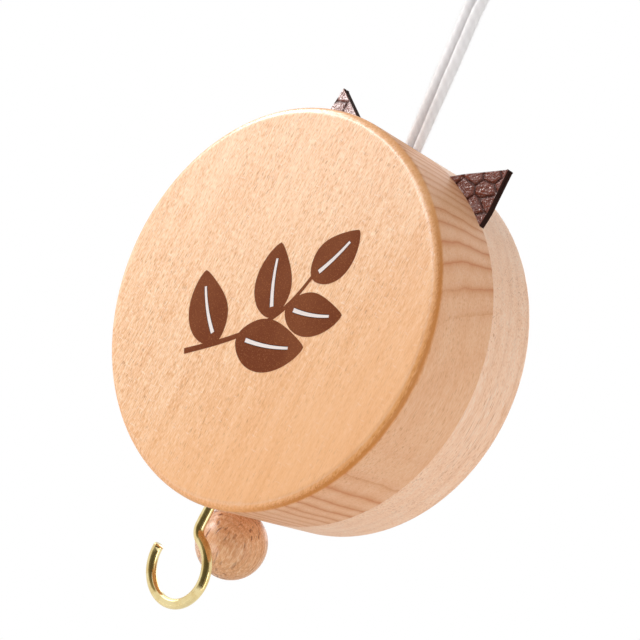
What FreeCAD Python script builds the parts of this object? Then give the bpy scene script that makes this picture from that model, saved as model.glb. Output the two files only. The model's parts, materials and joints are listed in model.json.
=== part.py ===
import FreeCAD, Part
import math
import os

# Round wooden music box that hangs on a doubled cord and plays when its ball is pulled.
# Sizes are in millimetres. The model is built in the case's frame (case axis along Y through the
# origin, seam at y = 0, front towards -Y) and is moved at the end so that the part's origin is the
# underside of the hanging loop's crest.

V = FreeCAD.Vector
X, Y, Z = V(1, 0, 0), V(0, 1, 0), V(0, 0, 1)

# Fits
fit = 0.03              # radial gap of pieces that are pressed or glued together
running = 0.05          # radial gap of a turning arbor in its bearing
slack = 0.1             # side gap of a screw or an ear in the wood

# Case
case_r = 42.5
front_depth = 20.0
rear_depth = 16.0
front_wall = 5.0
back_wall = 4.0
side_wall = 7.5
round_over = 2.0
spigot_wall = 1.5
spigot_height = 2.0
spigot_notch = 10.0
cavity_r = case_r - side_wall
cavity_back = rear_depth - back_wall

# Case screws, from the back
case_screw_r = 1.5
case_screw_head_r = 2.4
case_screw_head_h = 1.6
case_screw_length = 24.0
case_screw_inset = 4.3
case_screw_ring = case_r - case_screw_inset
case_screw_angles = (62, 128, 232, 298)
drive_width = 0.7
drive_depth = 0.9
drive_reach = 1.55

# Leather ears
ear_angle = 27.2
ear_half_base = 7.1
ear_apex_r = 53.6
ear_tang = 3.6
ear_ply = 0.9

# Hanging cord
cord_r = 1.05
cord_half_gap = 1.2
cord_lean = 5.3
loop_height = 50.0
support_r = 3.0
neck_drop = 12.0
bend_share = 0.45       # share of a run that its bend takes up
cord_hole_r = 3.1
knot_r = 3.7
knot_height = 6.5
knot_round = 1.3
knot_seat = 0.6

# Screw hook
hook_y = -4.7
hook_wire_r = 1.15
hook_bow_r = 7.85
hook_drop = 16.4
hook_bow_start = 75.0
hook_bow_end = -188.0
hook_thread = 6.5

# Pull ball, its cord and bush
pull_y = 7.4
ball_r = 8.0
ball_gap = 0.7
ball_bore_r = 0.9
pull_cord_r = 0.6
ball_knot_r = 1.9
ball_knot_height = 2.6
ball_knot_round = 0.7
bush_r = 2.5
bush_bore_r = 1.0
bush_flange_r = 3.5
bush_flange = 0.9
bush_inset = 0.2

# Gears
gear_module = 0.6
worm_module = 0.5
pressure = math.radians(25)
addendum = 0.85
dedendum = 1.15
backlash = 0.10
worm_backlash = 0.30
gear_width = 1.8
gear_gap = 0.6          # between the cylinder's end and its gear
great_teeth = 36
cylinder_teeth = 28
pinion_teeth = 10
worm_wheel_teeth = 20
worm_starts = 2

# Movement frame
plate = 1.6
plate_half_x = 22.0
plate_low = -24.0
plate_high = 26.5
plate_corner = 3.0
cheek_x = 13.3
cheek = 1.4
cheek_front = -12.0
cheek_low = -25.0
cheek_high = 12.5
foot_width = 4.6
foot_low = -15.0
foot_high = 5.0
frame_screw_r = 1.0
frame_screw_head_r = 1.8
frame_screw_head_h = 1.1
frame_screw_bite = 2.6
plate_screw_x = 18.5
plate_screw_z = (-21.0, 20.0)
cheek_screw_z = (-12.0, 2.0)

# Drum, mainspring and clutch
drum_z = -19.0
drum_wind_r = 9.0
drum_flange_r = 10.8
drum_half = 5.0
drum_flange = 1.0
arbor_r = 1.25
hub_r = 3.0
spring_case_r = 10.8
spring_case_wall = 0.8
spring_gap = 0.6
spring_inner_r = 4.0
spring_pitch = 0.7
spring_turns = 8
spring_strip = 0.25
clutch_r = 4.2
clutch_gap = 0.3

# Cylinder and comb
cylinder_r = 6.5
cylinder_wall = 0.8
cylinder_half = 10.0
head_thick = 2.0
pin_height = 0.8
pin_r = 0.22
pin_root = 0.3
pins_per_track = 4
pin_steps = 24
tooth_count = 18
tooth_pitch = 1.05
tooth_width = 0.75
tooth_thick = 0.5
tooth_length = 12.0
comb_half = 10.0
comb_base = 6.0
comb_thick = 1.0
comb_clear = 0.2
comb_screw_x = 6.5

# Governor
governor_angle = 130.0
governor_r = 0.75
worm_pitch_r = 1.5
worm_addendum = 0.45
worm_core_r = 0.9
worm_length = 8.0
worm_journal_r = 0.7
journal_inset = 0.35
worm_step = 30
worm_wheel_x = 17.0
worm_wheel_width = 1.2
fan_low = 16.5
fan_height = 5.5
fan_reach = 5.2
fan_thick = 0.5
fan_hub_r = 1.5
bracket_x = (15.2, 20.5)
bracket_front = 4.0
bracket_plate = 1.4
bracket_arm = 1.4
bracket_arm_low = -3.0
bracket_arm_high = 23.6
bracket_arm_reach = 2.4
bracket_leg = (10.0, 16.0)

# Places worked out from the sizes above
lean = math.radians(cord_lean)
along = V(-math.sin(lean), 0, math.cos(lean))
across = V(math.cos(lean), 0, math.sin(lean))
crest = V(0, 0, case_r) + along * loop_height
drum_y = pull_y - drum_wind_r
plate_front = cavity_back - plate
great_r = gear_module * great_teeth / 2
cylinder_gear_r = gear_module * cylinder_teeth / 2
pinion_r = gear_module * pinion_teeth / 2
worm_wheel_r = worm_module * worm_wheel_teeth / 2
cylinder_z = drum_z + great_r + cylinder_gear_r
governor_dir = math.radians(governor_angle)
governor_y = drum_y + (cylinder_gear_r + pinion_r) * math.cos(governor_dir)
governor_z = cylinder_z + (cylinder_gear_r + pinion_r) * math.sin(governor_dir)
worm_y = governor_y + worm_wheel_r + worm_pitch_r
worm_lead = math.pi * worm_module * worm_starts
gear_x = cylinder_half + gear_gap
comb_tip = cylinder_z + cylinder_r + pin_height + comb_clear
comb_root = comb_tip + tooth_length
comb_top = comb_root + comb_base
comb_screw_z = comb_root + comb_base / 2
cheek_out = cheek_x + cheek
cheek_screw_x = cheek_out + foot_width / 2


def rod(start, axis, length, radius):
    """Round bar from start along axis."""
    return Part.makeCylinder(radius, length, start, axis)


def block(x, y, z):
    """Box between two values on each axis."""
    return Part.makeBox(x[1] - x[0], y[1] - y[0], z[1] - z[0], V(x[0], y[0], z[0]))


def ring(start, axis, length, outer, inner):
    """Tube from start along axis."""
    return rod(start, axis, length, outer).cut(rod(start, axis, length, inner))


def prism(points, direction):
    """Closed outline pushed along a direction."""
    return Part.Face(Part.makePolygon(points + [points[0]])).extrude(direction)


def rounded_rod(start, axis, length, radius, edge):
    """Round bar with both ends rounded over."""
    bar = rod(start, axis, length, radius)
    rims = [e for e in bar.Edges if isinstance(e.Curve, Part.Circle)]
    return bar.makeFillet(edge, rims)


def save(name, *solids):
    """Move a piece to the part's origin and write it."""
    shape = solids[0] if len(solids) == 1 else Part.makeCompound(list(solids))
    shape = shape.copy()
    shape.translate(crest * -1)
    assert shape.isValid(), name
    shape.exportStep("parts/%s.step" % name)


def polar(radius, degrees, y=0.0):
    """Point at an angle from the top of the case, clockwise seen from the front."""
    a = math.radians(degrees)
    return V(radius * math.sin(a), y, radius * math.cos(a))


# Screws
def pan_screw(seat, bite, through):
    """Slotted pan-head screw driven towards +Y, with its head's underside at seat."""
    head = rod(seat - Y * frame_screw_head_h, Y, frame_screw_head_h, frame_screw_head_r)
    slot = block((seat.x - frame_screw_head_r, seat.x + frame_screw_head_r),
                 (seat.y - frame_screw_head_h, seat.y - frame_screw_head_h / 2),
                 (seat.z - drive_width / 2, seat.z + drive_width / 2))
    return head.cut(slot).fuse(rod(seat, Y, through + bite, frame_screw_r)).removeSplitter()


def screw_hole(seat, depth, gap):
    """Hole for a frame screw from its seat towards +Y."""
    return rod(seat, Y, depth, frame_screw_r + gap)


def case_screw(place):
    """Countersunk cross-drive wood screw driven towards -Y from the back face."""
    cone = Part.makeCone(case_screw_head_r, case_screw_r, case_screw_head_h, place, Y * -1)
    shank = rod(place - Y * case_screw_head_h, Y * -1, case_screw_length - case_screw_head_h, case_screw_r)
    reach = drive_reach
    wide = drive_width / 2
    deep = (place.y - drive_depth, place.y)
    cross = block((place.x - reach, place.x + reach), deep, (place.z - wide, place.z + wide))
    cross = cross.fuse(block((place.x - wide, place.x + wide), deep, (place.z - reach, place.z + reach)))
    return cone.fuse(shank).cut(cross).removeSplitter()


def case_screw_hole(place):
    """Countersink and clearance hole in the rear half, pilot hole in the front half."""
    sink = Part.makeCone(case_screw_head_r + slack, case_screw_r + slack, case_screw_head_h, place, Y * -1)
    clear = rod(place, Y * -1, rear_depth, case_screw_r + slack)
    pilot = rod(V(place.x, 0, place.z), Y * -1, case_screw_length - rear_depth + slack, case_screw_r + fit)
    return sink.fuse(clear), pilot


# Case
def ear_outline(side, gap):
    """Corners of an ear with its tang, in the seam plane."""
    shoulder = math.sqrt(case_r ** 2 - ear_half_base ** 2)
    half = ear_half_base + gap
    corners = ((-half, shoulder - ear_tang - gap), (half, shoulder - ear_tang - gap), (half, shoulder),
               (0, ear_apex_r), (-half, shoulder))
    turn = math.radians(side * ear_angle)
    return [V(t * math.cos(turn) + r * math.sin(turn), 0, r * math.cos(turn) - t * math.sin(turn))
            for t, r in corners]


def rounded_cup(depth, wall, direction):
    """Turned cup that opens at the seam, with its outer edge rounded over."""
    puck = rod(V(0, 0, 0), direction, depth, case_r)
    rim = [e for e in puck.Edges if isinstance(e.Curve, Part.Circle) and abs(e.Curve.Center.y) > depth / 2]
    return puck.makeFillet(round_over, rim).cut(rod(V(0, 0, 0), direction, depth - wall, cavity_r))


def case_halves(screw_places):
    """The two wooden halves with every hole and recess."""
    front = rounded_cup(front_depth, front_wall, Y * -1)
    rear = rounded_cup(rear_depth, back_wall, Y)
    lip = ring(V(0, 0, 0), Y * -1, spigot_height, cavity_r - slack, cavity_r - slack - spigot_wall)
    root = ring(V(0, 0, 0), Y, spigot_height, cavity_r, cavity_r - slack - spigot_wall)
    notch = block((-spigot_notch / 2, spigot_notch / 2), (-spigot_height, spigot_height), (0, cavity_r))
    rear = rear.fuse(lip.fuse(root).cut(notch)).removeSplitter()
    cord_hole = rod(V(0, 0, 0), Z, case_r, cord_hole_r)
    front = front.cut(cord_hole)
    rear = rear.cut(cord_hole)
    for side in (-1, 1):
        outline = ear_outline(side, slack)
        front = front.cut(prism(outline, Y * -ear_ply))
        rear = rear.cut(prism(outline, Y * ear_ply))
    hook_hole = rod(V(0, hook_y, -case_r), Z, hook_thread, hook_wire_r + fit)
    front = front.cut(hook_hole)
    rear = rear.cut(rod(V(0, pull_y, -case_r), Z, side_wall + bush_flange, bush_r + fit))
    for angle in case_screw_angles:
        clear, pilot = case_screw_hole(polar(case_screw_ring, angle, rear_depth))
        rear = rear.cut(clear)
        front = front.cut(pilot)
    for place in screw_places:
        rear = rear.cut(screw_hole(V(place.x, cavity_back, place.z), frame_screw_bite + slack, fit))
    return front, rear


# Cords
def sweep(edges, start, direction, radius):
    """Round tube along joined lines and tangent arcs, with its volume compared with section times length."""
    path = Part.Wire(edges)
    section = Part.Wire([Part.Circle(start, direction, radius).toShape()])
    solid = path.makePipeShell([section], True, False)
    expected = math.pi * radius ** 2 * path.Length
    assert abs(solid.Volume / expected - 1) < 0.01, (solid.Volume, expected)
    return solid, path.Length


def loop_point(s, w):
    """Point of the hanging loop: s across the strands, w up along them from the crest."""
    return crest + across * s + along * w


def line(a, b):
    """Straight edge."""
    return Part.LineSegment(a, b).toShape()


def arc(a, middle, b):
    """Round edge through three points."""
    return Part.Arc(a, middle, b).toShape()


def hanging_cord():
    """Two taut strands that part near the top and go round a peg."""
    bight_w = -support_r
    bight_r = support_r + cord_r
    foot_w = -(loop_height + side_wall + knot_seat)
    neck_w = bight_w - neck_drop
    reach = math.hypot(cord_half_gap, neck_drop)
    turn = math.asin(bight_r / reach) - math.atan2(cord_half_gap, neck_drop)
    run = math.sqrt(reach ** 2 - bight_r ** 2)
    neck_r = bend_share * run / math.tan(turn / 2)
    cut = neck_r * math.tan(turn / 2)
    sin_t, cos_t = math.sin(turn), math.cos(turn)
    half_sin, half_cos = math.sin(turn / 2), math.cos(turn / 2)

    def strand(side):
        foot = loop_point(side * cord_half_gap, foot_w)
        bend_in = loop_point(side * cord_half_gap, neck_w - cut)
        swing = cord_half_gap + neck_r * (1 - half_cos)
        bend_mid = loop_point(side * swing, neck_w - cut + neck_r * half_sin)
        bend_out = loop_point(side * (cord_half_gap + cut * sin_t), neck_w + cut * cos_t)
        touch = loop_point(side * (cord_half_gap + run * sin_t), neck_w + run * cos_t)
        return foot, bend_in, bend_mid, bend_out, touch

    foot, a_in, a_mid, a_out, a_touch = strand(1)
    far_foot, b_in, b_mid, b_out, b_touch = strand(-1)
    top = loop_point(0, bight_w + bight_r)
    edges = [line(foot, a_in), arc(a_in, a_mid, a_out), line(a_out, a_touch), arc(a_touch, top, b_touch),
             line(b_touch, b_out), arc(b_out, b_mid, b_in), line(b_in, far_foot)]
    solid, length = sweep(edges, foot, along, cord_r)
    print("hanging cord length %.1f, neck radius %.1f, bight radius %.2f" % (length, neck_r, bight_r))
    knot = rounded_rod(loop_point(0, foot_w), along * -1, knot_height, knot_r, knot_round)
    return solid, knot


def screw_hook():
    """Open hook in a plane parallel to the front face, its mouth towards -X."""
    start = math.radians(hook_bow_start)
    end = math.radians(hook_bow_end)
    middle = (start + end) / 2
    centre = V(0, hook_y, -case_r - hook_drop)

    def bow(angle):
        return centre + V(hook_bow_r * math.cos(angle), 0, hook_bow_r * math.sin(angle))

    neck_r = hook_bow_r * math.cos(start) / (1 - math.cos(start))
    join = bow(start)
    bend = V(0, hook_y, join.z + neck_r * math.sin(start))
    half = start / 2
    bend_mid = bend + V(neck_r * (1 - math.cos(half)), 0, -neck_r * math.sin(half))
    top = V(0, hook_y, -case_r + hook_thread)
    edges = [line(top, bend), arc(bend, bend_mid, join), arc(join, bow(middle), bow(end))]
    solid, length = sweep(edges, top, Z * -1, hook_wire_r)
    print("hook wire length %.1f, neck radius %.2f" % (length, neck_r))
    return solid


def pull_ball():
    """Wooden bead with a bore and a counterbore for the knot, the cord's run, and the knot."""
    centre = V(0, pull_y, -case_r - ball_gap - ball_r)
    ball = Part.makeSphere(ball_r, centre)
    ball = ball.cut(rod(centre - Z * ball_r, Z, 2 * ball_r, ball_bore_r))
    seat = centre - Z * (ball_r - ball_knot_height - ball_knot_round)
    ball = ball.cut(rod(centre - Z * ball_r, Z, seat.z - centre.z + ball_r, ball_knot_r + slack))
    winding_r = drum_wind_r + pull_cord_r + fit
    lift = math.sqrt(winding_r ** 2 - (drum_wind_r - pull_cord_r) ** 2)
    top = drum_z - lift - running
    cord = rod(V(0, pull_y, seat.z), Z, top - seat.z, pull_cord_r)
    knot = rounded_rod(seat, Z * -1, ball_knot_height, ball_knot_r, ball_knot_round)
    print("pull cord run %.2f, top at case z %.2f" % (top - seat.z, top))
    return ball, cord, knot


def cord_bush():
    """Flanged eyelet in the bottom of the rear half."""
    seat = -math.sqrt(cavity_r ** 2 - bush_flange_r ** 2)
    low = -case_r + bush_inset
    flange = rod(V(0, pull_y, seat), Z, bush_flange, bush_flange_r)
    body = rod(V(0, pull_y, low), Z, seat - low, bush_r)
    bore = rod(V(0, pull_y, low), Z, seat + bush_flange - low, bush_bore_r)
    return flange.fuse(body).removeSplitter().cut(bore)


# Gears, all with their axis along X
def gear_wire(teeth, module, x, y, z, phase, thin):
    """Outline of a spur gear with involute flanks; phase is one tooth's angle from +Y towards +Z."""
    pitch_r = module * teeth / 2
    base_r = pitch_r * math.cos(pressure)
    root_r = pitch_r - dedendum * module
    tip_r = pitch_r + addendum * module

    def roll(r):
        t = math.sqrt(max((r / base_r) ** 2 - 1, 0))
        return t - math.atan(t)

    half_pitch = math.pi / (2 * teeth) - thin / (2 * pitch_r)
    low = max(base_r, root_r)
    flank = [root_r] if root_r < low else []
    flank += [low + (tip_r - low) * k / 4 for k in range(5)]
    points = []
    for tooth in range(teeth):
        middle = math.radians(phase) + 2 * math.pi * tooth / teeth
        left = [(r, middle - half_pitch - roll(pitch_r) + roll(max(r, low))) for r in flank]
        right = [(r, 2 * middle - a) for r, a in reversed(left)]
        points += [V(x, y + r * math.cos(a), z + r * math.sin(a)) for r, a in left + right]
    return Part.makePolygon(points + [points[0]])


def spur_gear(teeth, x, y, z, phase, bore):
    """Spur gear of the movement's train."""
    blank = Part.Face(gear_wire(teeth, gear_module, x, y, z, phase, backlash)).extrude(X * gear_width)
    return blank.cut(rod(V(x, y, z), X, gear_width, bore))


def mating_phase(teeth, phase, direction, mate_teeth):
    """Phase of a gear that meshes with one of the given phase, seen in a direction from it."""
    offset = (direction - phase) % (360 / teeth)
    return direction + 180 + 180 / mate_teeth + offset * teeth / mate_teeth


def worm_wheel():
    """Slant-toothed wheel that drives the worm."""
    slant = math.degrees(worm_lead / (2 * math.pi * worm_pitch_r) * worm_wheel_width / 2 / worm_wheel_r)
    low = worm_wheel_x - worm_wheel_width / 2
    ends = ((low, -slant), (low + worm_wheel_width, slant))
    wires = [gear_wire(worm_wheel_teeth, worm_module, x, governor_y, governor_z, phase, worm_backlash)
             for x, phase in ends]
    blank = Part.makeLoft(wires, True, True)
    return blank.cut(rod(V(low, governor_y, governor_z), X, worm_wheel_width, governor_r + fit))


def worm_shaft():
    """Two-start worm lofted through turned sections, with a journal at each end."""
    tip = worm_pitch_r + worm_addendum
    middle = (tip + worm_core_r) / 2
    radii = [tip, middle, worm_core_r, worm_core_r, worm_core_r, middle] * worm_starts
    count = int(worm_length / worm_lead * 360 / worm_step)
    wires = []
    for k in range(count + 1):
        turn = worm_step * (k - count / 2)
        z = governor_z + worm_lead * turn / 360
        corners = []
        for i, r in enumerate(radii):
            a = math.radians(turn + 360 * i / len(radii))
            corners.append(V(worm_wheel_x + r * math.cos(a), worm_y + r * math.sin(a), z))
        wires.append(Part.makePolygon(corners + [corners[0]]))
    thread = Part.makeLoft(wires, True, True)
    half = worm_lead * worm_step * count / 720
    low = bracket_arm_low + journal_inset
    high = bracket_arm_high + bracket_arm - journal_inset
    below = rod(V(worm_wheel_x, worm_y, low), Z, governor_z - half - low, worm_journal_r)
    above = rod(V(worm_wheel_x, worm_y, governor_z + half), Z, high - governor_z - half, worm_journal_r)
    return thread.multiFuse([below, above])


# Drum side
def mainspring():
    """Spiral strip of half circles about two centres."""
    x = -cheek_x + spring_case_wall + spring_gap
    width = cheek_x - drum_half - spring_case_wall - 2 * spring_gap

    def turns(inset):
        arcs = []
        for k in range(2 * spring_turns):
            centre = V(x, drum_y + (spring_pitch / 2 if k % 2 else 0), drum_z)
            r = spring_inner_r + k * spring_pitch / 2 - inset
            side = -1 if k % 2 else 1
            arcs.append(arc(centre + Y * (side * r), centre + Z * (side * r), centre - Y * (side * r)))
        return arcs

    outer = turns(0)
    inner = turns(spring_strip)
    ends = [line(inner[0].firstVertex().Point, outer[0].firstVertex().Point),
            line(outer[-1].lastVertex().Point, inner[-1].lastVertex().Point)]
    outline = Part.Wire(Part.__sortEdges__(outer + inner + ends))
    return Part.Face(outline).extrude(X * width)


def spring_case():
    """Cup on the left cheek that holds the mainspring."""
    depth = cheek_x - drum_half - spring_gap
    cup = rod(V(-cheek_x, drum_y, drum_z), X, depth, spring_case_r)
    inside = spring_case_r - spring_case_wall
    cup = cup.cut(rod(V(-cheek_x + spring_case_wall, drum_y, drum_z), X, depth, inside))
    return cup.cut(rod(V(-cheek_x, drum_y, drum_z), X, spring_case_wall, arbor_r + running))


def cord_drum():
    """Spool with a hub that reaches into the mainspring, and the turns of cord on it."""
    core = drum_wind_r - pull_cord_r - fit
    spool = rod(V(-drum_half, drum_y, drum_z), X, 2 * drum_half, core)
    for x in (-drum_half, drum_half - drum_flange):
        spool = spool.fuse(rod(V(x, drum_y, drum_z), X, drum_flange, drum_flange_r))
    hub = cheek_x - spring_case_wall - spring_gap - drum_half
    spool = spool.fuse(rod(V(-drum_half - hub, drum_y, drum_z), X, hub, hub_r)).removeSplitter()
    spool = spool.cut(rod(V(-cheek_x, drum_y, drum_z), X, 2 * cheek_x, arbor_r + fit))
    width = drum_half - drum_flange - clutch_gap
    turns = ring(V(-width, drum_y, drum_z), X, 2 * width, drum_wind_r + pull_cord_r, core + fit)
    return spool, turns


# Cylinder and comb
def cylinder():
    """Thin brass tube with its pins."""
    start = V(-cylinder_half, drum_y, cylinder_z)
    tube = ring(start, X, 2 * cylinder_half, cylinder_r, cylinder_r - cylinder_wall)
    pins = []
    for track in range(tooth_count):
        x = (track - (tooth_count - 1) / 2) * tooth_pitch
        for k in range(pins_per_track):
            step = (k * pin_steps // pins_per_track + 5 * track + k * track % 3) % pin_steps
            a = 2 * math.pi * (step + 0.5) / pin_steps
            out = V(0, math.cos(a), math.sin(a))
            foot = V(x, drum_y, cylinder_z) + out * (cylinder_r - pin_root)
            pins.append(rod(foot, out, pin_root + pin_height, pin_r))
    return tube.multiFuse(pins)


def comb():
    """Steel comb with its teeth pointing down at the cylinder."""
    y = (drum_y - comb_thick / 2, drum_y + comb_thick / 2)
    body = block((-comb_half, comb_half), y, (comb_root, comb_top))
    teeth = []
    for k in range(tooth_count):
        x = (k - (tooth_count - 1) / 2) * tooth_pitch
        teeth.append(block((x - tooth_width / 2, x + tooth_width / 2),
                           (drum_y - tooth_thick / 2, drum_y + tooth_thick / 2), (comb_tip, comb_root)))
    body = body.multiFuse(teeth)
    for place in comb_seats():
        body = body.cut(screw_hole(place, comb_thick, slack))
    return body


def comb_seats():
    """Undersides of the comb screws' heads."""
    return [V(side * comb_screw_x, drum_y - comb_thick / 2, comb_screw_z) for side in (-1, 1)]


# Movement frame
def plate_seats():
    """Undersides of the bedplate screws' heads."""
    return [V(side * plate_screw_x, plate_front, z) for side in (-1, 1) for z in plate_screw_z]


def cheek_seats(side):
    """Undersides of one cheek's foot screws' heads."""
    return [V(side * cheek_screw_x, plate_front - cheek, z) for z in cheek_screw_z]


def bracket_seat():
    """Underside of the governor bracket's screw head."""
    return V(sum(bracket_x) / 2, bracket_front, sum(bracket_leg) / 2)


def bedplate():
    """Flat plate on the back wall with a hole for each screw."""
    body = block((-plate_half_x, plate_half_x), (plate_front, cavity_back), (plate_low, plate_high))
    corners = [e for e in body.Edges if abs(e.tangentAt(e.FirstParameter).y) > 0.9]
    body = body.makeFillet(plate_corner, corners)
    for place in plate_seats():
        body = body.cut(screw_hole(place, plate, slack))
    threaded = comb_seats() + cheek_seats(-1) + cheek_seats(1) + [bracket_seat()]
    for place in threaded:
        body = body.cut(screw_hole(V(place.x, plate_front, place.z), plate, fit))
    return body


def bearing_cheek(side):
    """Upright plate with a foot and a bearing for each arbor."""
    inner, outer = sorted((side * cheek_x, side * cheek_out))
    body = block((inner, outer), (cheek_front, plate_front), (cheek_low, cheek_high))
    foot = sorted((side * cheek_out, side * (cheek_out + foot_width)))
    body = body.fuse(block(foot, (plate_front - cheek, plate_front), (foot_low, foot_high))).removeSplitter()
    bearings = ((drum_y, drum_z, arbor_r), (drum_y, cylinder_z, arbor_r),
                (governor_y, governor_z, governor_r))
    for y, z, r in bearings:
        body = body.cut(rod(V(inner, y, z), X, cheek, r + running))
    for place in cheek_seats(side):
        body = body.cut(screw_hole(place, cheek, slack))
    return body


def comb_riser():
    """Block that lifts the comb to the cylinder's level."""
    y = (drum_y + comb_thick / 2, plate_front)
    body = block((-comb_half, comb_half), y, (comb_root, comb_top))
    for place in comb_seats():
        body = body.cut(screw_hole(V(place.x, y[0], place.z), y[1] - y[0], slack))
    return body


def governor_bracket():
    """Plate with two arms that carry the worm shaft, on a leg to the bedplate."""
    back = bracket_front + bracket_plate
    body = block(bracket_x, (bracket_front, back), (bracket_arm_low, bracket_arm_high + bracket_arm))
    body = body.fuse(block(bracket_x, (back, plate_front), bracket_leg))
    for z in (bracket_arm_low, bracket_arm_high):
        arm_x = (bracket_x[0], worm_wheel_x + bracket_arm_reach)
        arm = block(arm_x, (worm_y - bracket_arm_reach, bracket_front), (z, z + bracket_arm))
        body = body.fuse(arm)
    body = body.removeSplitter()
    length = bracket_arm_high + bracket_arm - bracket_arm_low
    body = body.cut(rod(V(worm_wheel_x, worm_y, bracket_arm_low), Z, length, worm_journal_r + running))
    return body.cut(screw_hole(bracket_seat(), plate_front - bracket_front, slack))


def fan():
    """Hub with two flat blades."""
    hub = rod(V(worm_wheel_x, worm_y, fan_low), Z, fan_height, fan_hub_r)
    blades = block((worm_wheel_x - fan_reach, worm_wheel_x + fan_reach),
                   (worm_y - fan_thick / 2, worm_y + fan_thick / 2), (fan_low, fan_low + fan_height))
    body = hub.fuse(blades).removeSplitter()
    return body.cut(rod(V(worm_wheel_x, worm_y, fan_low), Z, fan_height, worm_journal_r + fit))


def write_case():
    """Wood, leather, hook and case screws."""
    front, rear = case_halves(plate_seats())
    save("front_cover", front)
    save("rear_housing", rear)
    for side, name in ((-1, "left"), (1, "right")):
        save(name + "_ear_front_ply", prism(ear_outline(side, 0), Y * -ear_ply))
        save(name + "_ear_back_ply", prism(ear_outline(side, 0), Y * ear_ply))
    save("screw_hook", screw_hook())
    save("case_screws", *[case_screw(polar(case_screw_ring, a, rear_depth)) for a in case_screw_angles])


def write_cords():
    """Hanging cord, pull ball and what the pull cord runs through."""
    cord, knot = hanging_cord()
    save("hanging_cord", cord)
    save("hanging_knot", knot)
    ball, run, ball_knot = pull_ball()
    save("pull_ball", ball)
    save("pull_cord", run)
    save("ball_knot", ball_knot)
    save("cord_bush", cord_bush())


def write_frame():
    """Bedplate, cheeks, comb and their screws."""
    save("bedplate", bedplate())
    save("bedplate_screws", *[pan_screw(p, frame_screw_bite, plate) for p in plate_seats()])
    save("left_cheek", bearing_cheek(-1))
    save("right_cheek", bearing_cheek(1))
    save("cheek_screws", *[pan_screw(p, plate, cheek) for s in (-1, 1) for p in cheek_seats(s)])
    save("comb_riser", comb_riser())
    save("comb", comb())
    riser = plate_front - drum_y + comb_thick / 2
    save("comb_screws", *[pan_screw(p, plate, riser) for p in comb_seats()])
    save("governor_bracket", governor_bracket())
    save("bracket_screw", pan_screw(bracket_seat(), plate, plate_front - bracket_front))


def write_train():
    """Drum, wheels, cylinder and governor."""
    span = 2 * cheek_out
    drum, turns = cord_drum()
    save("cord_drum", drum)
    save("wound_cord", turns)
    save("drum_arbor", rod(V(-cheek_out, drum_y, drum_z), X, span, arbor_r))
    clutch_start = drum_half + clutch_gap
    save("clutch_sleeve", ring(V(clutch_start, drum_y, drum_z), X, gear_x - clutch_gap - clutch_start,
                               clutch_r, arbor_r + fit))
    save("spring_case", spring_case())
    save("mainspring", mainspring())
    down = -90
    great_phase = mating_phase(cylinder_teeth, down, down, great_teeth)
    pinion_phase = mating_phase(cylinder_teeth, down, governor_angle, pinion_teeth)
    save("great_wheel", spur_gear(great_teeth, gear_x, drum_y, drum_z, great_phase, arbor_r + running))
    save("cylinder_gear", spur_gear(cylinder_teeth, gear_x, drum_y, cylinder_z, down, arbor_r + fit))
    save("governor_pinion", spur_gear(pinion_teeth, gear_x, governor_y, governor_z, pinion_phase,
                                      governor_r + fit))
    save("cylinder", cylinder())
    inner_r = cylinder_r - cylinder_wall - fit
    heads = [ring(V(x, drum_y, cylinder_z), X, head_thick, inner_r, arbor_r + fit)
             for x in (-cylinder_half, cylinder_half - head_thick)]
    save("cylinder_heads", *heads)
    save("cylinder_arbor", rod(V(-cheek_out, drum_y, cylinder_z), X, span, arbor_r))
    reach = worm_wheel_x + worm_wheel_width / 2
    save("governor_arbor", rod(V(-cheek_out, governor_y, governor_z), X, cheek_out + reach, governor_r))
    save("worm_wheel", worm_wheel())
    save("worm_shaft", worm_shaft())
    save("fan", fan())


os.makedirs("parts", exist_ok=True)
write_case()
write_cords()
write_frame()
write_train()
print("case axis at x %.3f, z %.3f" % (-crest.x, -crest.z))
print("cylinder z %.3f, governor y %.3f z %.3f, worm y %.3f" % (cylinder_z, governor_y, governor_z, worm_y))
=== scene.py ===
"""Looks of a round wooden music box that hangs on a doubled cord and plays when its ball is pulled.

Everything is in metres in the part's frame: the origin is the underside of the hanging loop's crest,
+Z is up and the printed front faces -Y. Sizes in the classes below are in millimetres.
"""

import json
import logging
import math
from dataclasses import dataclass
from enum import Enum
from functools import cache, reduce
from typing import Callable, Sequence

import bpy
import numpy as np
from mathutils import Matrix, Vector

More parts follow.
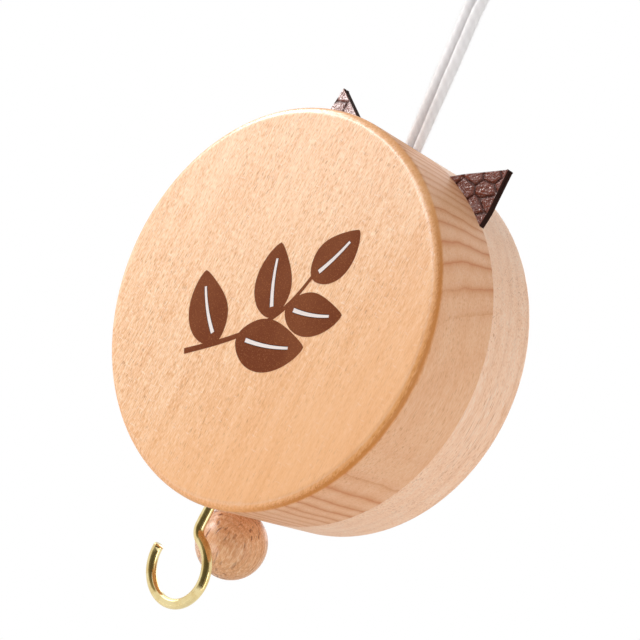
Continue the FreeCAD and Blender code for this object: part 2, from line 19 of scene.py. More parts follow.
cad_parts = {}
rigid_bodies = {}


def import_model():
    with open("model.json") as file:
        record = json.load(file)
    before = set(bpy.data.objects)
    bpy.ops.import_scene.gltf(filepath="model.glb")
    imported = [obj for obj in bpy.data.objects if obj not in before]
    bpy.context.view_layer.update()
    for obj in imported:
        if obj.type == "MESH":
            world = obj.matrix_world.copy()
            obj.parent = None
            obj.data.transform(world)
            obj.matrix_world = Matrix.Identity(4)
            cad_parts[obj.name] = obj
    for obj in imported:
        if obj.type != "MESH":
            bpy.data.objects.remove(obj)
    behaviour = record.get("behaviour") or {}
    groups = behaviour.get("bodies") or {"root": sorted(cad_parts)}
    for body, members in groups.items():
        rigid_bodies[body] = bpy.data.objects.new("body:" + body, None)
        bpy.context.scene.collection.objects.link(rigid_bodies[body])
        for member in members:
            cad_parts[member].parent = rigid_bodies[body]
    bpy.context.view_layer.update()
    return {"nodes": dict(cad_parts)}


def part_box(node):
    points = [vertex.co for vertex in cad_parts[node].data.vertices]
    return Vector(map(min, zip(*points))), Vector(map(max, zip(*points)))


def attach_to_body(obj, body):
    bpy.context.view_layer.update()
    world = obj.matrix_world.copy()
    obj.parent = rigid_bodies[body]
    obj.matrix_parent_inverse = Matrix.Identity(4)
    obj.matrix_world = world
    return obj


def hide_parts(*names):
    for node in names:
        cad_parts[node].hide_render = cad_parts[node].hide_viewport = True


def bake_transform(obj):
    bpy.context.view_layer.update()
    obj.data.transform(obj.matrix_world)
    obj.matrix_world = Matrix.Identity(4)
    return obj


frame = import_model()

MM = 0.001
PER_METRE = (1 / MM,) * 3
CASE_CENTRE = (4.6185, 0.0, -92.2862)
CASE_R = 42.5
PULL_CORD_R = 0.6
WHITE = (1.0, 1.0, 1.0, 1.0)
BLACK = (0.0, 0.0, 0.0, 1.0)
# Numbers of the sockets that a Mix node has for colours.
MIX_SHARE, MIX_FIRST, MIX_SECOND, MIX_RESULT = 0, 6, 7, 2
log = logging.getLogger("music_box")

Socket = bpy.types.NodeSocket
Thing = bpy.types.Object
Colour = tuple[float, float, float, float]
Triple = tuple[float, float, float]
Range = tuple[float, float]
Face = tuple[int, ...]
Radii = Callable[[np.ndarray, float], np.ndarray]


def srgb(code: str) -> Colour:
    """Turn a hex colour into linear red, green, blue and alpha.

    Args:
        code: six hex digits after a hash sign.

    Returns:
        The linear colour.
    """
    parts = [int(code[i:i + 2], 16) / 255 for i in (1, 3, 5)]
    linear = [c / 12.92 if c <= 0.04045 else ((c + 0.055) / 1.055) ** 2.4 for c in parts]
    return (*linear, 1.0)


class NodeSheet:
    """Node tree with short ways to add and join nodes."""

    def __init__(self, tree: bpy.types.NodeTree) -> None:
        """Start from a tree's nodes and links."""
        self.nodes, self.links = tree.nodes, tree.links

    def put(self, socket: Socket, value: object) -> None:
        """Join a socket to another, or set its value.

        Args:
            socket: the input to fill.
            value: another node's output, a hex colour or a plain value.
        """
        if isinstance(value, bpy.types.NodeSocket):
            self.links.new(value, socket)
        else:
            socket.default_value = srgb(value) if isinstance(value, str) else value

    def add(self, kind: str, values: dict[str | int, object] | None = None,
            **options: object) -> bpy.types.Node:
        """Add a node.

        Args:
            kind: the node's type.
            values: its inputs by name or number, and what goes into them.
            options: the node's own settings.

        Returns:
            The node.
        """
        node = self.nodes.new(kind)
        for name, option in options.items():
            setattr(node, name, option)
        for key, value in (values or {}).items():
            self.put(node.inputs[key], value)
        return node


class Sheet(NodeSheet):
    """Shader nodes of a material or of the world."""

    def __init__(self, owner: bpy.types.Material | bpy.types.World) -> None:
        """Start from the nodes that a new material or world has.

        Args:
            owner: the material or the world.
        """
        owner.use_nodes = True
        super().__init__(owner.node_tree)
        self.owner = owner

    def dress(self, **values: object) -> None:
        """Fill the Principled shader's inputs, with underscores in place of spaces."""
        for name, value in values.items():
            self.put(self.nodes["Principled BSDF"].inputs[name.replace("_", " ")], value)

    def coords(self, output: str = "Object") -> Socket:
        """Give one output of the texture coordinates."""
        return self.add("ShaderNodeTexCoord").outputs[output]

    def millimetres(self) -> Socket:
        """Give the object's coordinates in millimetres."""
        return self.vector("MULTIPLY", self.coords(), PER_METRE)

    def attribute(self, name: str) -> Socket:
        """Give a mesh attribute's number."""
        return self.add("ShaderNodeAttribute", attribute_name=name).outputs["Fac"]

    def math(self, operation: str, *values: object) -> Socket:
        """Give a Math node's result."""
        return self.add("ShaderNodeMath", dict(enumerate(values)), operation=operation).outputs[0]

    def vector(self, operation: str, *values: object) -> Socket:
        """Give a Vector Math node's vector."""
        node = self.add("ShaderNodeVectorMath", dict(enumerate(values)), operation=operation)
        return node.outputs["Vector"]

    def times(self, *values: object) -> Socket:
        """Multiply numbers."""
        return reduce(lambda first, second: self.math("MULTIPLY", first, second), values)

    def plus(self, base: object, value: object, share: object) -> Socket:
        """Add a share of a number to a base."""
        return self.math("MULTIPLY_ADD", value, share, base)

    def centred(self, value: Socket) -> Socket:
        """Shift a value from about one half to about zero."""
        return self.math("SUBTRACT", value, 0.5)

    def turned(self, vector: Socket, degrees: float) -> Socket:
        """Turn a vector about Z."""
        values = {"Vector": vector, "Angle": math.radians(degrees)}
        return self.add("ShaderNodeVectorRotate", values, rotation_type="Z_AXIS").outputs[0]

    def split(self, vector: Socket) -> tuple[Socket, Socket, Socket]:
        """Split a vector into its three numbers."""
        return tuple(self.add("ShaderNodeSeparateXYZ", {0: vector}).outputs)

    def noise(self, vector: Socket, stretch: Triple, detail: float) -> Socket:
        """Give noise of about 0.5, with its own count of features per unit on each axis."""
        values = {"Vector": self.vector("MULTIPLY", vector, stretch), "Scale": 1.0, "Detail": detail}
        return self.add("ShaderNodeTexNoise", values).outputs[0]

    def borders(self, vector: Socket, scale: float) -> Socket:
        """Give the distance to the nearest border between Voronoi cells."""
        values = {"Vector": vector, "Scale": scale}
        return self.add("ShaderNodeTexVoronoi", values, feature="DISTANCE_TO_EDGE").outputs["Distance"]

    def random(self, number: Socket) -> Socket:
        """Give a random value from 0 to 1 for each whole number."""
        return self.add("ShaderNodeTexWhiteNoise", {"W": number}, noise_dimensions="1D").outputs["Value"]

    def span(self, value: Socket, low: float, high: float, out_low: float = 0.0,
             out_high: float = 1.0) -> Socket:
        """Ease a value from the range low to high into the range out_low to out_high."""
        values = {"Value": value, "From Min": low, "From Max": high, "To Min": out_low, "To Max": out_high}
        return self.add("ShaderNodeMapRange", values, interpolation_type="SMOOTHSTEP").outputs["Result"]

    def band(self, value: Socket, rise: Range, fall: Range, top: float = 1.0) -> Socket:
        """Give top between a rise and a fall of the value, and 0 outside them."""
        return self.times(self.span(value, *rise), self.span(value, *fall, 0.0, top))

    def ramp(self, value: Socket, stops: Sequence[tuple[float, str | float]]) -> Socket:
        """Colour a value by stops.

        Args:
            value: from 0 to 1.
            stops: places in order, each with a hex colour or a grey level.

        Returns:
            The colour.
        """
        node = self.add("ShaderNodeValToRGB", {0: value})
        elements = node.color_ramp.elements
        while len(elements) < len(stops):
            elements.new(1.0)
        for element, (place, colour) in zip(elements, stops):
            element.position = place
            element.color = srgb(colour) if isinstance(colour, str) else (colour, colour, colour, 1.0)
        return node.outputs[0]

    def mixed(self, share: object, first: object, second: object) -> Socket:
        """Mix two colours by the share of the second."""
        values = {MIX_SHARE: share, MIX_FIRST: first, MIX_SECOND: second}
        return self.add("ShaderNodeMix", values, data_type="RGBA").outputs[MIX_RESULT]

    def relief(self, height: Socket, depth: float, strength: float) -> Socket:
        """Bump the surface by a height whose 1 stands for a depth in millimetres."""
        values = {"Strength": strength, "Distance": depth * MM, "Height": height}
        return self.add("ShaderNodeBump", values).outputs[0]

    def seen(self) -> Socket:
        """Give 1 for rays from the camera, off a shiny surface or through a clear one.

        Returns:
            1 or 0.
        """
        path = self.add("ShaderNodeLightPath").outputs
        direct = self.math("MAXIMUM", path["Is Camera Ray"], path["Is Glossy Ray"])
        return self.math("MAXIMUM", direct, path["Is Transmission Ray"])

    def show_mix(self, share: Socket, first: Socket, second: Socket, output: str) -> None:
        """Send a mix of two shaders to the output node of this name."""
        mix = self.add("ShaderNodeMixShader", {0: share, 1: first, 2: second})
        self.put(self.nodes[output].inputs["Surface"], mix.outputs[0])


@dataclass(frozen=True)
class WoodFinish:
    """Oiled hardwood with its fibres along Z and its growth rings stacked along one direction."""

    name: str
    centre: Triple
    ring_turn: float
    ring_spacing: float
    ring_strength: float
    face_strength: float
    light: str
    middle: str
    dark: str
    ring: str
    pore: str
    pore_share: float
    # Painted shade: the next colour darkens a ragged band on the round-over at the far right, where the edge
    # is in shadow. Its share also sets the golden tint of the round-over.
    painted_edge_shade: str = "#C98646"
    edge_gold_and_shade_share: float = 0.0
    ring_curve: float = 0.0015
    ring_lean: float = 0.0
    ring_widen: float = 0.016
    ring_shift: float = 0.95
    ring_profile: tuple[Range, ...] = ((0.0, 0.95), (0.14, 0.5), (0.38, 0.12), (0.62, 0.05), (0.86, 0.32),
                                       (1.0, 0.95))
    outer_from: float = 30.0
    grazing: float = 0.12
    drift_size: Triple = (0.03, 0.03, 0.010)
    drift_reach: float = 2.6
    wobble_size: Triple = (0.15, 0.15, 0.03)
    wobble_reach: float = 0.9
    fibre_size: Triple = (2.0, 2.0, 0.20)
    fine_size: Triple = (4.6, 4.6, 0.9)
    streak_share: float = 1.6
    sheen_size: Triple = (0.30, 0.30, 0.030)
    sheen_share: float = 0.40
    pore_size: Triple = (3.6, 3.6, 0.62)
    pore_patch: Triple = (0.10, 0.10, 0.05)
    fleck_size: Triple = (4.0, 4.0, 0.5)
    fleck_shift: Triple = (7.0, 3.0, 11.0)
    ray_size: Triple = (0.45, 2.4, 2.0)
    pale: str = "#FFEBD6"
    golden: str = "#F5A75A"
    golden_share: float = 0.7
    # Painted shade: the turned sides are mixed towards this darker, redder colour in place of warm light in
    # their shadow.
    painted_side_shade: str = "#EDB999"
    painted_side_shade_share: float = 0.0
    # Painted shade: the face and round-over turn more orange towards the lower right, away from the lamps on
    # the left.
    painted_lower_right_shade: str = "#F6AE68"
    painted_lower_right_shade_share: float = 0.0
    side_calm: float = 1.0
    low_calm: float = 1.0
    # Painted light: the face is paler towards the upper left, standing in for the sheen of the lamps on the
    # left.
    painted_light_slope: Range = (0.0, 0.0)
    shine: float = 0.03
    face_shine: float = 0.38
    edge_shine: float = 0.45
    edge_polish: float = 0.20

    def rings(self, sheet: Sheet, grain: Socket, rounded: Socket) -> Socket:
        """Draw the growth rings, which bend, lean and widen outwards as the trunk grew.

        Args:
            sheet: the material's sheet.
            grain: places in the trunk's own directions.
            rounded: 0 on the turned sides and 1 on the faces.

        Returns:
            The share of the rings' colour.
        """
        x, y, z = sheet.split(grain)
        drift = sheet.centred(sheet.noise(grain, self.drift_size, 1.0))
        wobble = sheet.centred(sheet.noise(grain, self.wobble_size, 2.0))
        bent = sheet.plus(sheet.plus(x, drift, self.drift_reach), wobble, self.wobble_reach)
        curve = sheet.span(z, -14.0, 22.0, -0.1 * self.ring_curve, -self.ring_curve)
        bent = sheet.plus(bent, sheet.times(y, y), curve)
        bent = sheet.plus(bent, y, sheet.band(z, (-12.0, 6.0), (37.0, 20.0), self.ring_lean))
        outer = sheet.math("MAXIMUM", sheet.math("SUBTRACT", bent, self.outer_from), 0.0)
        bent = sheet.plus(bent, sheet.times(outer, outer), -self.ring_widen)
        count = sheet.math("DIVIDE", sheet.math("ADD", bent, self.ring_shift), self.ring_spacing)
        late = sheet.ramp(sheet.math("FRACT", count), self.ring_profile)
        each = sheet.span(sheet.random(sheet.math("FLOOR", count)), 0.0, 1.0, 0.4, 1.0)
        normal = sheet.turned(sheet.coords("Normal"), -self.ring_turn)
        along = sheet.math("ABSOLUTE", sheet.split(normal)[0])
        share = sheet.span(rounded, 0.0, 1.0, self.ring_strength, self.face_strength)
        share = sheet.times(share, sheet.span(along, 0.80, 0.97, 1.0, self.grazing))
        return sheet.times(late, each, share)

    def paint(self, sheet: Sheet) -> None:
        """Fill the wood's material.

        Args:
            sheet: the material's sheet.
        """
        place = sheet.vector("MULTIPLY_ADD", sheet.coords(), PER_METRE, tuple(-c for c in self.centre))
        grain = sheet.turned(place, -self.ring_turn)
        x, _, z = sheet.split(grain)
        facing = sheet.math("ABSOLUTE", sheet.split(sheet.coords("Normal"))[1])
        face, rounded = sheet.span(facing, 0.75, 0.98), sheet.span(facing, 0.15, 0.60)

        fibre = sheet.noise(grain, self.fibre_size, 2.0)
        fine = sheet.noise(grain, self.fine_size, 3.0)
        sheen = sheet.noise(grain, self.sheen_size, 2.0)
        lower_right = sheet.plus(x, z, -0.7)
        low = sheet.span(lower_right, 0.0, 46.0, 1.0 - self.side_calm, self.low_calm - self.side_calm)
        calm = sheet.plus(self.side_calm, face, low)
        streak = sheet.plus(sheet.centred(fine), sheet.centred(fibre), 0.5)
        tone = sheet.plus(0.5, sheet.times(streak, calm), self.streak_share)
        # Painted light: the face's tone rises towards the upper left.
        upper_left_light = sheet.plus(sheet.times(z, self.painted_light_slope[1]), x, self.painted_light_slope[0])
        tone = sheet.plus(sheet.plus(tone, upper_left_light, face), sheet.centred(sheen), self.sheen_share)
        colour = sheet.ramp(tone, [(0.18, self.dark), (0.5, self.middle), (0.82, self.light)])
        # Painted shade: the turned sides are darker and redder than the face.
        colour = sheet.mixed(sheet.span(rounded, 0.0, 1.0, self.painted_side_shade_share, 0.0), colour, self.painted_side_shade)
        # Painted shade: more orange towards the lower right of the face and round-over.
        painted_lower_right_shade = sheet.times(sheet.span(lower_right, -10.0, 46.0, 0.0, self.painted_lower_right_shade_share), rounded)
        colour = sheet.mixed(painted_lower_right_shade, colour, self.painted_lower_right_shade)
        colour = sheet.mixed(self.rings(sheet, grain, rounded), colour, self.ring)

        patch = sheet.span(sheet.noise(grain, self.pore_patch, 1.0), 0.35, 0.65, 0.4, 1.0)
        spots = sheet.span(sheet.noise(grain, self.pore_size, 1.0), 0.60, 0.69)
        colour = sheet.mixed(sheet.times(spots, patch, self.pore_share, calm), colour, self.pore)
        flecks = sheet.noise(sheet.vector("ADD", grain, self.fleck_shift), self.fleck_size, 1.0)
        rays = sheet.noise(grain, self.ray_size, 1.0)
        pale = sheet.math("MAXIMUM", sheet.span(flecks, 0.62, 0.76, 0.0, 0.25),
                          sheet.span(rays, 0.62, 0.76, 0.0, 0.4))
        colour = sheet.mixed(sheet.times(pale, sheet.times(face, calm)), colour, self.pale)
        golden = sheet.band(facing, (0.15, 0.45), (0.98, 0.88), self.golden_share * self.edge_gold_and_shade_share)
        colour = sheet.mixed(golden, colour, self.golden)
        ragged = sheet.plus(facing, sheet.centred(fine), 0.5)
        # Painted shade: a dark, ragged band on the round-over at the far right side only.
        right_edge_shade = sheet.span(sheet.plus(x, z, -0.1), 20.0, 34.0, 0.0, self.edge_gold_and_shade_share)
        edge_shade_mask = sheet.times(sheet.band(ragged, (0.15, 0.45), (0.90, 0.60)), right_edge_shade)
        colour = sheet.mixed(edge_shade_mask, colour, self.painted_edge_shade)

        height = sheet.math("SUBTRACT", sheet.plus(fibre, fine, 0.5), spots)
        worn = sheet.band(facing, (0.15, 0.40), (0.99, 0.90), -self.edge_polish)
        inner_edge = sheet.band(facing, (0.70, 0.86), (0.995, 0.97), self.edge_shine)
        shine = sheet.math("ADD", inner_edge, sheet.span(facing, 0.4, 0.8, self.shine, self.face_shine))
        sheet.dress(Base_Color=colour, Specular_IOR_Level=shine,
                    Roughness=sheet.math("ADD", sheet.span(fibre, 0.3, 0.7, 0.40, 0.54), worn),
                    Normal=sheet.relief(sheet.times(height, calm), 0.045, 0.6))


@dataclass(frozen=True)
class LeatherFinish:
    """Dark pebbled leather; the mesh carries its grain's height and its cut edges as attributes."""

    name: str = "pebbled_leather"
    crown: str = "#7C4030"
    valley: str = "#4C251D"
    edge: str = "#2B1812"

    def paint(self, sheet: Sheet) -> None:
        """Fill the leather's material.

        Args:
            sheet: the material's sheet.
        """
        place = sheet.millimetres()
        cut = sheet.attribute("cut")
        wrinkle = sheet.borders(sheet.vector("ADD", place, (0.3, 0.0, 0.7)), 2.0)
        creases = sheet.span(wrinkle, 0.0, 0.12)
        mottle = sheet.noise(place, (0.8, 0.8, 0.8), 3.0)
        colour = sheet.mixed(sheet.span(sheet.attribute("grain"), 0.15, 0.9), self.valley, self.crown)
        colour = sheet.mixed(sheet.span(mottle, 0.3, 0.7, 0.0, 0.35), colour, self.valley)
        colour = sheet.mixed(sheet.times(sheet.math("SUBTRACT", 1.0, creases), 0.35), colour, self.valley)
        fuzz = sheet.noise(place, (4.0, 4.0, 4.0), 2.0)
        gloss = sheet.span(mottle, 0.3, 0.7, 0.20, 0.30)
        sheet.dress(Base_Color=sheet.mixed(cut, colour, self.edge), Roughness=sheet.plus(gloss, cut, 0.5),
                    Specular_IOR_Level=sheet.math("SUBTRACT", 0.42, sheet.times(cut, 0.38)),
                    Normal=sheet.relief(sheet.plus(creases, fuzz, 0.045), 0.045, 0.8))


@dataclass(frozen=True)
class MetalFinish:
    """Bare metal with soft tarnish and fine scratches."""

    name: str
    bright: str
    dull: str
    smooth: float
    worn: float

    def paint(self, sheet: Sheet) -> None:
        """Fill the metal's material.

        Args:
            sheet: the material's sheet.
        """
        place = sheet.millimetres()
        cloud = sheet.noise(place, (0.35, 0.35, 0.35), 3.0)
        lines = sheet.noise(place, (2.0, 2.0, 2.0), 3.0)
        wear = sheet.plus(sheet.times(cloud, 0.5), lines, 0.5)
        sheet.dress(Base_Color=sheet.mixed(sheet.span(cloud, 0.35, 0.7), self.bright, self.dull),
                    Metallic=1.0, Roughness=sheet.span(wear, 0.35, 0.65, self.smooth, self.worn),
                    Normal=sheet.relief(lines, 0.012, 0.35))


@dataclass(frozen=True)
class CottonFinish:
    """Soft white or natural cord; the tube's own UV runs round it and along it."""

    name: str
    light: str
    shade: str
    yarns: float
    lay: float

    def paint(self, sheet: Sheet) -> None:
        """Fill the cord's material.

        Args:
            sheet: the material's sheet.
        """
        around, along, _ = sheet.split(sheet.coords("UV"))
        slant = sheet.plus(sheet.times(around, self.yarns), along, self.lay)
        yarn = sheet.span(sheet.math("SINE", sheet.times(slant, 2 * math.pi)), -1.0, 1.0)
        fuzz = sheet.noise(sheet.millimetres(), (6.0, 6.0, 6.0), 4.0)
        # The shade colour falls in the grooves between the yarns as painted shade; the fuzz noise varies the
        # tone at random as well.
        blend = sheet.plus(sheet.times(fuzz, 0.9), yarn, 0.22)
        sheet.dress(Base_Color=sheet.mixed(sheet.span(blend, 0.2, 0.75), self.shade, self.light),
                    Roughness=0.9, Sheen_Weight=0.8, Sheen_Roughness=0.5,
                    Normal=sheet.relief(sheet.plus(fuzz, yarn, 0.25), 0.10, 0.6))


@dataclass(frozen=True)
class InkFinish:
    """Printed ink that lies on the wood with specks where the grain shows through."""

    name: str
    ink: str
    speck: str
    speck_share: float

    def paint(self, sheet: Sheet) -> None:
        """Fill the ink's material.

        Args:
            sheet: the material's sheet.
        """
        place = sheet.millimetres()
        dots = sheet.noise(place, (4.5, 4.5, 3.6), 2.0)
        cloud = sheet.noise(place, (0.08, 0.08, 0.05), 2.0)
        colour = sheet.mixed(sheet.span(dots, 0.52, 0.72, 0.0, self.speck_share), self.ink, self.speck)
        colour = sheet.mixed(sheet.span(cloud, 0.35, 0.7, 0.0, 0.2), colour, self.speck)
        sheet.dress(Base_Color=colour, Roughness=sheet.span(dots, 0.3, 0.7, 0.6, 0.8),
                    Specular_IOR_Level=0.15, Normal=sheet.relief(dots, 0.03, 0.5))


@dataclass(frozen=True)
class MouldedFinish:
    """Moulded plastic or painted casting with a fine grain."""

    name: str
    colour: str
    shade: str
    rough: float

    def paint(self, sheet: Sheet) -> None:
        """Fill the moulding's material.

        Args:
            sheet: the material's sheet.
        """
        place = sheet.millimetres()
        grain = sheet.noise(place, (3.0, 3.0, 3.0), 3.0)
        cloud = sheet.noise(place, (0.2, 0.2, 0.2), 2.0)
        sheet.dress(Base_Color=sheet.mixed(sheet.span(cloud, 0.3, 0.7), self.colour, self.shade),
                    Roughness=sheet.span(grain, 0.3, 0.7, self.rough - 0.07, self.rough + 0.07),
                    Normal=sheet.relief(grain, 0.02, 0.4))


class Finish(Enum):
    """Every finish on the object."""

    # The front wood's dark right-hand edge, darker redder sides, more orange lower right and paler upper left
    # are painted light and shade.
    FRONT_WOOD = WoodFinish("front_wood", CASE_CENTRE, 0.0, 2.1, 0.85, 0.08, "#FBD9B6", "#F1C093",
                            "#DC9A64", "#C56E34", "#AA5E24", 0.60, painted_edge_shade="#BC7232", edge_gold_and_shade_share=0.7,
                            side_calm=0.55, low_calm=0.35, ring_lean=0.15, painted_side_shade_share=0.45, painted_lower_right_shade_share=0.45,
                            painted_light_slope=(-0.0010, 0.0004))
    REAR_WOOD = WoodFinish("rear_wood", (31.0, 9.0, -70.0), 84.0, 3.4, 0.25, 0.2, "#FFE6D0", "#FDD3B4",
                           "#EBB791", "#CB9470", "#B0693A", 0.85, ring_curve=0.0, ring_widen=0.0,
                           pore_size=(3.4, 3.4, 0.12), side_calm=0.55)
    BALL_WOOD = WoodFinish("ball_wood", (4.1, 6.9, -143.0), -67.0, 0.95, 0.55, 0.55, "#F2CCA6", "#E4AD80",
                           "#CF9366", "#B07246", "#7E4528", 0.9, ring_curve=-0.02, ring_widen=0.0,
                           pore_size=(1.25, 1.25, 0.05), shine=0.15)
    LEATHER = LeatherFinish()
    HOOK_BRASS = MetalFinish("hook_brass", "#EBD9A4", "#DCC183", 0.08, 0.20)
    GEAR_BRASS = MetalFinish("gear_brass", "#D9BC72", "#B9944C", 0.22, 0.38)
    STEEL = MetalFinish("bright_steel", "#C9CBCE", "#A3A6AA", 0.20, 0.36)
    FRAME_STEEL = MetalFinish("frame_steel", "#B5B7B9", "#8E9194", 0.30, 0.48)
    SCREW_STEEL = MetalFinish("screw_steel", "#C4C2BC", "#94928C", 0.22, 0.42)
    CAST = MouldedFinish("cast_base", "#8B8D90", "#74777A", 0.5)
    PLASTIC = MouldedFinish("drum_plastic", "#EDEBE4", "#E0DCD2", 0.42)
    WHITE_COTTON = CottonFinish("white_cotton", "#FBFAFB", "#EDEBEC", 3.0, 0.42)
    PULL_LINE = CottonFinish("pull_line", "#F2EEE6", "#DCD4C6", 3.0, 0.9)
    BROWN_INK = InkFinish("brown_ink", "#70330F", "#A5663F", 0.6)
    WHITE_INK = InkFinish("white_ink", "#F1E6E2", "#DBC9C2", 0.35)
    DARK_INK = InkFinish("dark_ink", "#331A14", "#4A271C", 0.4)

    @cache
    def material(self) -> bpy.types.Material:
        """Give the finish's material, made once.

        Returns:
            The material.
        """
        sheet = Sheet(bpy.data.materials.new(self.value.name))
        self.value.paint(sheet)
        return sheet.owner


def shown(name: str, data: bpy.types.ID) -> Thing:
    """Put an object in the scene.

    Args:
        name: the object's name.
        data: its mesh, lamp or camera.

    Returns:
        The object.
    """
    thing = bpy.data.objects.new(name, data)
    bpy.context.scene.collection.objects.link(thing)
    return thing


def plain_mesh(name: str, vertices: np.ndarray, faces: Sequence[Face]) -> bpy.types.Mesh:
    """Make a mesh from points in millimetres.

    Args:
        name: the mesh's name.
        vertices: points in the part's frame.
        faces: corner numbers of each face, turned outwards.

    Returns:
        The mesh.
    """
    mesh = bpy.data.meshes.new(name)
    mesh.from_pydata((np.asarray(vertices, float) * MM).tolist(), [], [list(face) for face in faces])
    return mesh


def attach(mesh: bpy.types.Mesh, name: str, values: np.ndarray) -> None:
    """Give each point of a mesh a number under this name."""
    layer = mesh.attributes.new(name, "FLOAT", "POINT")
    layer.data.foreach_set("value", values.astype(np.float32))


def piece(name: str, vertices: np.ndarray, faces: Sequence[Face], finish: Finish,
          sharp: float = 40.0) -> Thing:
    """Make a smooth-shaded mesh object at the origin.

    Args:
        name: the piece's name.
        vertices: points in millimetres in the part's frame.
        faces: corner numbers of each face, turned outwards.
        finish: what it is made of.
        sharp: edges that turn by more than these degrees stay crisp.

    Returns:
        The object.
    """
    mesh = plain_mesh(name, vertices, faces)
    mesh.validate()
    mesh.shade_smooth()
    mesh.set_sharp_from_angle(angle=math.radians(sharp))
    mesh.materials.append(finish.material())
    return shown(name, mesh)


def seat(thing: Thing, body: str, slot: str, *nodes: str) -> None:
    """Ride a piece on a body and hide the solids that it stands for.

    Args:
        thing: the piece.
        body: the body that carries it.
        slot: the record's material slot; not used.
        nodes: the solids that it replaces.
    """
    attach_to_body(thing, body)
    if nodes:
        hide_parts(*nodes)
    log.info("%s: %d faces on %s", thing.name, len(thing.data.polygons), body)


def grid_faces(rows: int, columns: int, wrap: bool) -> list[Face]:
    """Quads of a grid of points that are numbered row by row.

    Args:
        rows: how many rows.
        columns: how many points in a row.
        wrap: whether the last column joins the first.

    Returns:
        The quads.
    """
    quads = []
    for i in range(rows - 1):
        row, after = i * columns, (i + 1) * columns
        for j in range(columns if wrap else columns - 1):
            k = (j + 1) % columns
            quads.append((row + j, row + k, after + k, after + j))
    return quads


def slab_faces(rows: int, columns: int, layers: int) -> list[Face]:
    """Faces of a slab made of equal grids of points, one behind the other.

    Args:
        rows: how many rows a grid has.
        columns: how many points a row has.
        layers: how many grids there are; only the first and the last have quads.

    Returns:
        The first grid's quads, the last grid's and those of the walls round the rim.
    """
    count = rows * columns
    outer = grid_faces(rows, columns, False)
    inner = [tuple((layers - 1) * count + i for i in reversed(face)) for face in outer]
    rim = list(range(columns)) + [i * columns + columns - 1 for i in range(1, rows)]
    rim += [count - columns + j for j in range(columns - 2, -1, -1)]
    rim += [i * columns for i in range(rows - 2, 0, -1)]
    walls = [(k * count + b, k * count + a, (k + 1) * count + a, (k + 1) * count + b)
             for a, b in zip(rim, rim[1:] + rim[:1]) for k in range(layers - 1)]
    return outer + inner + walls


def lengths_along(points: np.ndarray) -> np.ndarray:
    """Length along a path at each of its points."""
    return np.concatenate([[0.0], np.cumsum(np.linalg.norm(np.diff(points, axis=0), axis=1))])


def tube_rings(points: np.ndarray, sides: int, radius: Radii) -> np.ndarray:
    """Rings of a tube round a path, carried along without twist.

    Args:
        points: the path in millimetres.
        sides: points in each ring.
        radius: gives the radii for the ring's angles and the length along the path.

    Returns:
        The rings' points, row by row.
    """
    tangents = np.gradient(points, axis=0)
    tangents /= np.linalg.norm(tangents, axis=1)[:, None]
    angles = np.linspace(0, 2 * math.pi, sides, endpoint=False)
    side = np.cross(tangents[0], (0.0, 1.0, 0.0))
    rings = []
    for place, tangent, run in zip(points, tangents, lengths_along(points)):
        side = side - tangent * side.dot(tangent)
        side /= np.linalg.norm(side)
        other = np.cross(tangent, side)
        reach = radius(angles, run)[:, None]
        rings.append(place + reach * (np.cos(angles)[:, None] * side + np.sin(angles)[:, None] * other))
    return np.concatenate(rings)


def tube(name: str, points: np.ndarray, sides: int, radius: Radii, finish: Finish) -> Thing:
    """Closed tube along a path, with a UV map that runs round it and along it in millimetres.

    Args:
        name: the piece's name.
        points: the path in millimetres.
        sides: points in each ring.
        radius: gives the radii for the ring's angles and the length along the path.
        finish: what it is made of.

    Returns:
        The object.
    """
    rings = tube_rings(points, sides, radius)
    rows = len(points)
    start, end = len(rings), len(rings) + 1
    last = start - sides
    faces = grid_faces(rows, sides, True)
    faces += [(start, (j + 1) % sides, j) for j in range(sides)]
    faces += [(end, last + j, last + (j + 1) % sides) for j in range(sides)]
    thing = piece(name, np.concatenate([rings, [points[0]], [points[-1]]]), faces, finish, 60.0)
    run = lengths_along(points)
    layer = thing.data.uv_layers.new(name="run")
    for face in thing.data.polygons:
        corners = [thing.data.loops[i].vertex_index for i in face.loop_indices]
        columns = [corner % sides for corner in corners]
        wraps = max(columns) == sides - 1 and min(columns) == 0
        for i, corner, column in zip(face.loop_indices, corners, columns):
            around = 1.0 if wraps and column == 0 else column / sides
            layer.data[i].uv = (around, run[min(corner // sides, rows - 1)])
    return thing


def lathe(name: str, profile: Sequence[Range], centre: Triple, segments: int, finish: Finish) -> Thing:
    """Closed ring of a profile turned about an upright axis.

    Args:
        name: the piece's name.
        profile: radius and height pairs of a closed outline, anticlockwise.
        centre: the axis's point that heights count from, in millimetres.
        segments: how many steps make the turn.
        finish: what it is made of.

    Returns:
        The object.
    """
    turn = np.linspace(0, 2 * math.pi, segments, endpoint=False)
    rows = [np.stack([r * np.cos(turn), r * np.sin(turn), np.full(segments, z)], 1) for r, z in profile]
    faces = grid_faces(len(rows), segments, True)
    last = (len(rows) - 1) * segments
    faces += [(last + j, last + (j + 1) % segments, (j + 1) % segments, j) for j in range(segments)]
    return piece(name, np.concatenate(rows) + np.asarray(centre), faces, finish)


